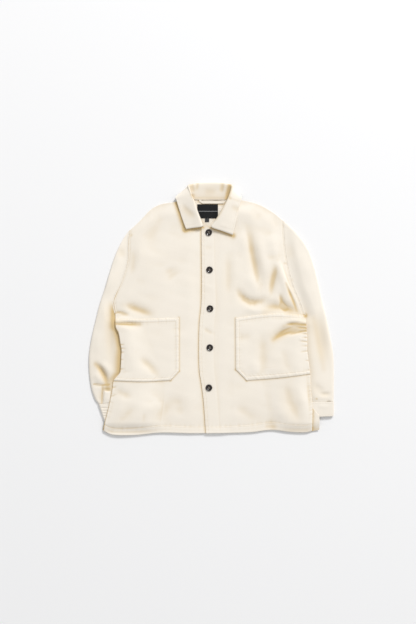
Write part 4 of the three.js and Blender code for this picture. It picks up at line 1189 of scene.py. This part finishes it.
# Collar
# A one-piece collar of two layers. It stands up from the neck seam, rolls over, and falls
# on the fronts; behind the neck its fall lies under the back, and the inside shows.
COLLAR_CLOTH = 2.2
COLLAR_ROLL = 4.2
COLLAR_STEPS = 7
COLLAR_SEAM = 5.4
NECK_CENTRE = (-5, 285)
BACK_STAND_Y = 331
COLLAR_ROWS = [
    # seam x, y, z; nose of the roll x, y, z; turn; outer edge x, y, z
    (-23, 248, 6.6, -26, 249, 10.2, 90, -75, 238.5, 11.4),
    (-41, 264, 6.8, -33, 269, 13, 88, -86, 268, 12.4),
    (-61, 287, 7.2, -42, 292, 16, 80, -95.5, 297, 12.6),
    (-75, 308, 7.4, -51, 318, 18.5, 65, -103, 322, 12),
    (-85, 324, 7.2, -60, 342, 19, 40, -107, 332, 10.6),
    (-84, 329, 6.8, -66, 357, 18, 0, -99, 342, 4),
    (-72, 327.5, 6.4, -68, 368, 14.5, -45, -86, 346, 1.2),
    (-52, 326.5, 6.2, -50, 374, 7.5, -85, -62, 332, 1.2),
    (-26, 326, 6, -26, 377, 5.5, -90, -30, 318, 1.2),
    (0, 326, 6, -1, 377.5, 5.5, -90, -1, 314, 1.2),
    (26, 326, 6, 24, 377, 5.5, -90, 28, 318, 1.2),
    (48, 326.5, 6.2, 46, 374, 7.5, -85, 56, 332, 1.2),
    (66, 328, 6.4, 62, 368, 14.5, -45, 76, 346, 1.2),
    (78, 330, 6.8, 60, 356, 18, 0, 86, 342, 4),
    (79, 325, 7.2, 54, 342, 19, 40, 90, 331, 10.6),
    (66, 308, 7.4, 45, 318, 18.5, 65, 86, 316, 12),
    (49, 287, 7.2, 30, 291, 16, 80, 79, 288, 12.6),
    (28, 263, 6.8, 14, 266, 13, 88, 72, 256, 12.4),
    (2, 247, 6.6, 0, 248, 10.2, 90, 64, 221, 11.4),
]
COLLAR_FOLDS = [
    # from x, y, by way of x, y, to x, y, width on each side, height
    (-58, 384, -57, 364, -50, 342, 4, 5, -2.4),
    (-40, 384, -42, 366, -44, 350, 3, 4, -1.8),
    (56, 384, 50, 354, 44, 320, 6, 4, -4.4),
    (33, 384, 33, 362, 28, 344, 4, 5, -2.2),
    (-60, 344, -56, 338, -46, 332, 5, 5, -1.6),
    (-30, 352, -4, 350, 24, 353, 9, 9, -0.8),
    (-94, 318, -69, 290, -40, 268, 7, 9, -1.3),
    (50, 329, 56, 328, 62, 326, 3, 3, -1.2),
    (54, 308, 74, 298, 96, 290, 6, 6, -1.0),
    (-98, 314, -92, 300, -84, 270, 6, 5, 1.0),
    (20, 252, 40, 246, 58, 240, 6, 6, 1.0),
]
COLLAR_SHADE_LINES = [
    # points along a roll's inner side where painted shade lies, its width and strength
    ([(57, 374), (51, 346), (41, 318), (28, 290), (14, 268)], 4.5, 0.55),
    ([(-66, 368), (-59, 342), (-49, 316), (-38, 292)], 3.5, 0.25),
    ([(56, 330), (66, 326), (80, 322)], 3, 0.2),
]


def collar_line(row):
    """Points across the collar: up the stand, round the roll and down the fall."""
    seam, nose, outer = (np.array(row[k:k + 3], float) for k in (0, 3, 7))
    turn = math.radians(row[6])
    up = np.array([0, 0, 1.0])
    outward = unit(np.array([nose[0] - NECK_CENTRE[0], nose[1] - NECK_CENTRE[1], 0.0]))
    across = outward * math.cos(turn) + up * math.sin(turn)
    bulge = -outward * math.sin(turn) + up * math.cos(turn)
    centre = nose - bulge * COLLAR_ROLL
    into = centre - across * COLLAR_ROLL
    out_of = centre + across * COLLAR_ROLL
    roll = [centre + COLLAR_ROLL * (bulge * math.sin(t) - across * math.cos(t))
            for t in np.radians([45, 90, 135])]
    return np.array([seam, (seam + into) / 2, into, *roll, out_of, (out_of + outer) / 2, outer])


collar_controls = np.array([collar_line(row) for row in COLLAR_ROWS])
collar_index = np.linspace(0, len(COLLAR_ROWS) - 1, (len(COLLAR_ROWS) - 1) * COLLAR_STEPS + 1)
controls_round = np.stack([curve_by_row(line)(collar_index)
                           for line in collar_controls.transpose(1, 0, 2)], axis=1)
collar_us = ticks(100, 2.2, (0, 0.8, 2), (0, 0.8, 1.8, 3.0, 4.4, COLLAR_SEAM, 6.4, 8))
collar_middle = np.array([curve(line, 10)(collar_us) for line in controls_round])
normal = unit(np.cross(np.gradient(collar_middle, axis=0), np.gradient(collar_middle, axis=1)))
section_length = np.linalg.norm(np.diff(collar_middle, axis=1), axis=-1).sum(axis=1)
from_outer = (1 - collar_us)[None, :] * section_length[:, None]
thickness = COLLAR_CLOTH - 0.7 * groove(from_outer, COLLAR_SEAM, 0.9)
thickness = thickness + 0.4 * (1 - smooth((from_outer - 6.5) / 2))
collar_x, collar_y = collar_middle[..., 0], collar_middle[..., 1]
collar_wave = 0.5 * waviness(collar_x, collar_y, 81, 24) + fold_height(COLLAR_FOLDS, collar_x, collar_y) * 0.6
run_round = run_along(collar_middle[:, -1])[:, None]
collar_wave = collar_wave + 0.3 * pucker(run_round, 83, 12) * np.exp(-((from_outer / 9) ** 2))
from_seam = np.linspace(0, 1, len(collar_us))
# painted shade on the collar: its troughs, the inner sides of the rolls and, behind the neck, the stand down
# to its seam, warmest at the seam
collar_shade = (trough_shade(COLLAR_FOLDS, collar_x, collar_y, 0.85, 2.4)
                + shade_lines(COLLAR_SHADE_LINES, collar_x, collar_y))
behind = smooth((60 - np.abs(collar_x + 3)) / 20) * (collar_y > BACK_STAND_Y - 6)
collar_shade = collar_shade + behind * (0.10 + 0.4 * np.exp(-np.abs(collar_y - BACK_STAND_Y) / 5))
collar_middle = collar_middle + normal * (np.maximum(collar_wave, -1.6) * smooth(from_seam / 0.1))[..., None]
top_side, under_side = (collar_middle + side * normal * thickness[..., None] / 2 for side in (1, -1))
for face in (top_side, under_side):
    face[..., 2] = np.maximum(face[..., 2], 0.02)
edge, inner = rim_cells(*thickness.shape)
rim = collar_middle[edge] + unit(collar_middle[edge] - collar_middle[inner]) * 0.7
rim[:, 2] = np.maximum(rim[:, 2], 0.05)
collar = two_faced("collar_cloth", top_side, under_side, rim, collar_shade, canvas)
seam_column = int(np.argmin(np.abs(100 * (1 - collar_us) - COLLAR_SEAM)))
half_way = int(len(collar_us) * 0.45)
collar_sewing = stitches("stitching_collar", [
    top_side[2:int(5.2 * COLLAR_STEPS), seam_column],
    top_side[int(12.8 * COLLAR_STEPS):-2, seam_column],
    top_side[3, half_way:seam_column],
    top_side[-4, half_way:seam_column],
])
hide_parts("collar")


# Hanger loop, neck label and size tab
# A strip of canvas is caught in the neck seam. Under it a black woven label is sewn on,
# bare but for a plain woven stripe, with a small grey tab folded out from under it.
LABEL_BLACK = (0.006, 0.006, 0.007, 1)
LABEL_STRIPE = (0.42, 0.42, 0.43, 1)
TAB_GREY = (0.03, 0.03, 0.033, 1)
TAB_PALE = (0.05, 0.05, 0.055, 1)
STRIPE_Y = 0.2915
STRIPE_HALF_WIDTH = 0.0006


def laid_strip(name, low_corner, high_corner, cloth, bow=0.0, material=canvas, turned_up=0.0):
    """A small strip laid on the back, bowed up in its middle, its first end turned towards the seam."""
    (x0, y0), (x1, y1) = low_corner, high_corner
    us = ticks(x1 - x0, 1.5, (0, 0.5, 1.2), (0, 0.5, 1.2))
    vs = ticks(y1 - y0, 1.5, (0, 0.5, 1.2), (0, 0.5, 1.2))
    x, y = np.meshgrid(x0 + (x1 - x0) * us, y0 + (y1 - y0) * vs)
    y = y + turned_up * smooth((x0 + 12 - x) / 12)
    low = back_top(x, y) + SEAM_GAP + bow * np.sin(np.pi * us)
    return wall_piece(name, np.dstack([x, y]), low, low + cloth, 0.05, material)


loop = laid_strip("hanger_loop_cloth", (-37, 314.4), (38, 322), 1.4, 1.6, turned_up=6)
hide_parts("hanger_loop")

label_finish = Finish("label_weave", Roughness=0.8, Sheen_Weight=0.05, Specular_IOR_Level=0.25)
label_place = label_finish.node("ShaderNodeTexCoord", output=3)
ribs = label_finish.node("ShaderNodeTexWave", {"wave_type": "BANDS", "bands_direction": "Y"},
                         {"Vector": label_place, "Scale": 900.0, "Distortion": 0.4}, output=1)
from_stripe = label_finish.node("ShaderNodeSeparateXYZ", None, {0: label_place}, output=1) - STRIPE_Y
stripe = from_stripe.maths("LESS_THAN", from_stripe.maths("ABSOLUTE", from_stripe), STRIPE_HALF_WIDTH)
label_finish.feed(label_finish.shader.inputs["Base Color"],
                  label_finish.mix(stripe * 0.8 + ribs * 0.012, LABEL_BLACK, LABEL_STRIPE))
label_finish.feed(label_finish.shader.inputs["Normal"],
                  label_finish.node("ShaderNodeBump", None,
                                    {"Strength": 0.4, "Distance": 0.0002, "Height": ribs}))
label = laid_strip("neck_label_cloth", (-42, 270.5), (20, 312.5), 0.9, 0.4, label_finish.material)
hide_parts("neck_label")

tab_finish = Finish("size_tab_weave", Base_Color=TAB_GREY, Roughness=0.7)
tab_grain = tab_finish.node("ShaderNodeTexNoise", None, {"Scale": 1200.0})
tab_finish.feed(tab_finish.shader.inputs["Base Color"], tab_finish.mix(tab_grain * 0.5, TAB_GREY, TAB_PALE))
tab = laid_strip("size_tab_cloth", (-19, 259.5), (-6.5, 270.2), 0.9, 0.0, tab_finish.material)
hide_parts("size_tab")


# Buttons
# Five moulded buttons of dark horn-like plastic with a raised rim, a dished middle and four
# holes, sewn on with cream thread.
BUTTONS = [(-7.8, 228), (-5.4, 116.4), (-3.9, 0.3), (-4.5, -116.4), (-7.2, -236.4)]
BUTTON_PROFILE = [
    # radius, height
    (0, 0.2), (5, 0.0), (8.6, 0.6), (9.7, 1.3), (10, 1.9), (9.85, 2.6), (9.4, 3.1), (8.8, 3.4),
    (8.0, 3.3), (7.2, 2.9), (6.2, 2.1), (5.0, 1.85), (0, 1.8),
]
BUTTON_SIDES = 48
HOLE_RADIUS = 0.85
HOLE_OFFSET = 1.75
HOLE_HEIGHTS = (1.0, 3.0)
HOLE_SIDES = 14
THREAD_PATH = [
    # distance along, height over the button's seat
    (-1.75, 0.9), (-1.72, 1.7), (-1.3, 2.15), (0, 2.25), (1.3, 2.15), (1.72, 1.7), (1.75, 0.9),
]
THREAD_RADIUS = 0.38
THREAD_SIDES = 8
BUTTONHOLE_ROW = 0.8
BUTTONHOLE_END = (10.6, 13.6)
BUTTONHOLE_PITCH = 2.6
HORN_DARK = (0.004, 0.003, 0.003, 1)
HORN_BROWN = (0.020, 0.010, 0.007, 1)
horn = Finish("button_horn", Roughness=0.22, Coat_Weight=0.45, Coat_Roughness=0.12, Specular_IOR_Level=0.4)
streaks = horn.node("ShaderNodeTexNoise", None, {"Vector": horn.node("ShaderNodeTexCoord", output=3),
                                                 "Scale": 160.0, "Detail": 4.0, "Distortion": 1.5})
horn.feed(horn.shader.inputs["Base Color"], horn.mix(streaks, HORN_DARK, HORN_BROWN))
horn.feed(horn.shader.inputs["Roughness"], 0.18 + streaks * 0.16)


def circle(sides):
    turn = np.arange(sides) * math.tau / sides
    return np.cos(turn), np.sin(turn)


def lathe(profile, sides):
    """Points and faces of a turned shape, from its lowest middle point round to its highest."""
    radius, height = np.array(profile[1:-1], float).T[:, :, None]
    across, along = circle(sides)
    walls = np.stack([radius * across, radius * along, height + 0 * across], axis=-1).reshape(-1, 3)
    points = np.vstack([walls, (0, 0, profile[0][1]), (0, 0, profile[-1][1])])
    faces = grid_faces(len(profile) - 2, sides, close=True).tolist()
    low, high = len(walls), len(walls) + 1
    for s in range(sides):
        t = (s + 1) % sides
        faces += [(low, t, s), (high, low - sides + s, low - sides + t)]
    return points, faces


def pegs():
    """Points and faces of four pegs, which cut the holes."""
    across, along = circle(HOLE_SIDES)
    points, faces = [], []
    for dx in (-HOLE_OFFSET, HOLE_OFFSET):
        for dy in (-HOLE_OFFSET, HOLE_OFFSET):
            faces += closed_tube(2, HOLE_SIDES, len(points))
            for z in HOLE_HEIGHTS:
                points.extend(zip(dx + HOLE_RADIUS * across, dy + HOLE_RADIUS * along, 0 * across + z))
    return points, faces


def thread_loops():
    """Points and faces of two stitches side by side, each going down a pair of holes."""
    path = curve(THREAD_PATH)(np.linspace(0, 1, 18))
    aside = np.tile((0.0, 1.0, 0.0), (len(path), 1))
    points, faces = [], []
    for across in (-HOLE_OFFSET, HOLE_OFFSET):
        line = np.insert(path, 1, across, axis=1)
        loop, ends = swept_tube(line, aside, THREAD_RADIUS, THREAD_RADIUS, THREAD_SIDES, len(points))
        points.extend(loop)
        faces += ends
    return points, faces


placket_top = resting(bpy.data.objects["front_left_cloth"])
buttonholes = []
for bx, by in BUTTONS:
    first, last = BUTTONHOLE_END
    for x0, y0, x1, y1 in ((first, -BUTTONHOLE_ROW, last, -BUTTONHOLE_ROW),
                           (first, BUTTONHOLE_ROW, last, BUTTONHOLE_ROW),
                           (last + 0.6, -1.3, last + 0.6, 1.3)):
        xs, ys = bx + np.linspace(x0, x1, 6), by + np.linspace(y0, y1, 6)
        buttonholes.append(np.column_stack([xs, ys, placket_top(xs, ys) + 0.02]))
stitches("stitching_buttonholes", buttonholes, BUTTONHOLE_PITCH)
for number, (bx, by) in enumerate(BUTTONS, 1):
    node = f"button_{number}"
    button = mesh_piece(node + "_horn", *lathe(BUTTON_PROFILE, BUTTON_SIDES), horn.material, rides=False)
    holes = mesh_piece(node + "_holes", *pegs(), horn.material, rides=False)
    drill = button.modifiers.new("holes", "BOOLEAN")
    drill.operation = "DIFFERENCE"
    drill.object = holes
    bpy.context.view_layer.objects.active = button
    with bpy.context.temp_override(object=button, active_object=button, selected_objects=[button]):
        bpy.ops.object.modifier_apply(modifier=drill.name)
    bpy.data.objects.remove(holes)
    loops = mesh_piece("thread_" + node, *thread_loops(), thread, rides=False)
    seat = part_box(node)[0][2]
    for piece in (button, loops):
        piece.location = (bx * MM, by * MM, seat)
        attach(piece, "root")
    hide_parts(node)


# Studio
# The jacket lies on a pale, nearly white floor under a soft light from the upper right.
FLOOR_HALF = 4
FLOOR_Z = -0.0002
KEY_PLACE = (4.3, 8.0, 6.2)
KEY_SIZE = 2.8
KEY_WATTS = 930
floor_finish = Finish("floor", Roughness=0.8, Base_Color=(0.9, 0.9, 0.905, 1))
floor_mesh = bpy.data.meshes.new("floor")
floor_corners = [(x * FLOOR_HALF, y * FLOOR_HALF, FLOOR_Z) for x, y in ((-1, -1), (1, -1), (1, 1), (-1, 1))]
floor_mesh.from_pydata(floor_corners, [], [(0, 1, 2, 3)])
floor_mesh.materials.append(floor_finish.material)
floor = bpy.data.objects.new("floor", floor_mesh)
bpy.context.scene.collection.objects.link(floor)

key_light = bpy.data.lights.new("key", "AREA")
key_light.shape = "DISK"
key_light.size = KEY_SIZE
key_light.energy = KEY_WATTS
key = bpy.data.objects.new("key", key_light)
key.location = KEY_PLACE
# it points at the middle of the jacket
x, y, z = KEY_PLACE
key.rotation_euler = (math.atan2(math.hypot(x, y), z), 0, math.atan2(-x, y) + math.pi)
bpy.context.scene.collection.objects.link(key)
world = bpy.data.worlds.new("studio")
world.use_nodes = True
sky = world.node_tree.nodes["Background"]
sky.inputs["Color"].default_value = (1, 1, 1, 1)
sky.inputs["Strength"].default_value = 0.60
bpy.context.scene.world = world
bpy.context.scene.view_settings.view_transform = "Standard"
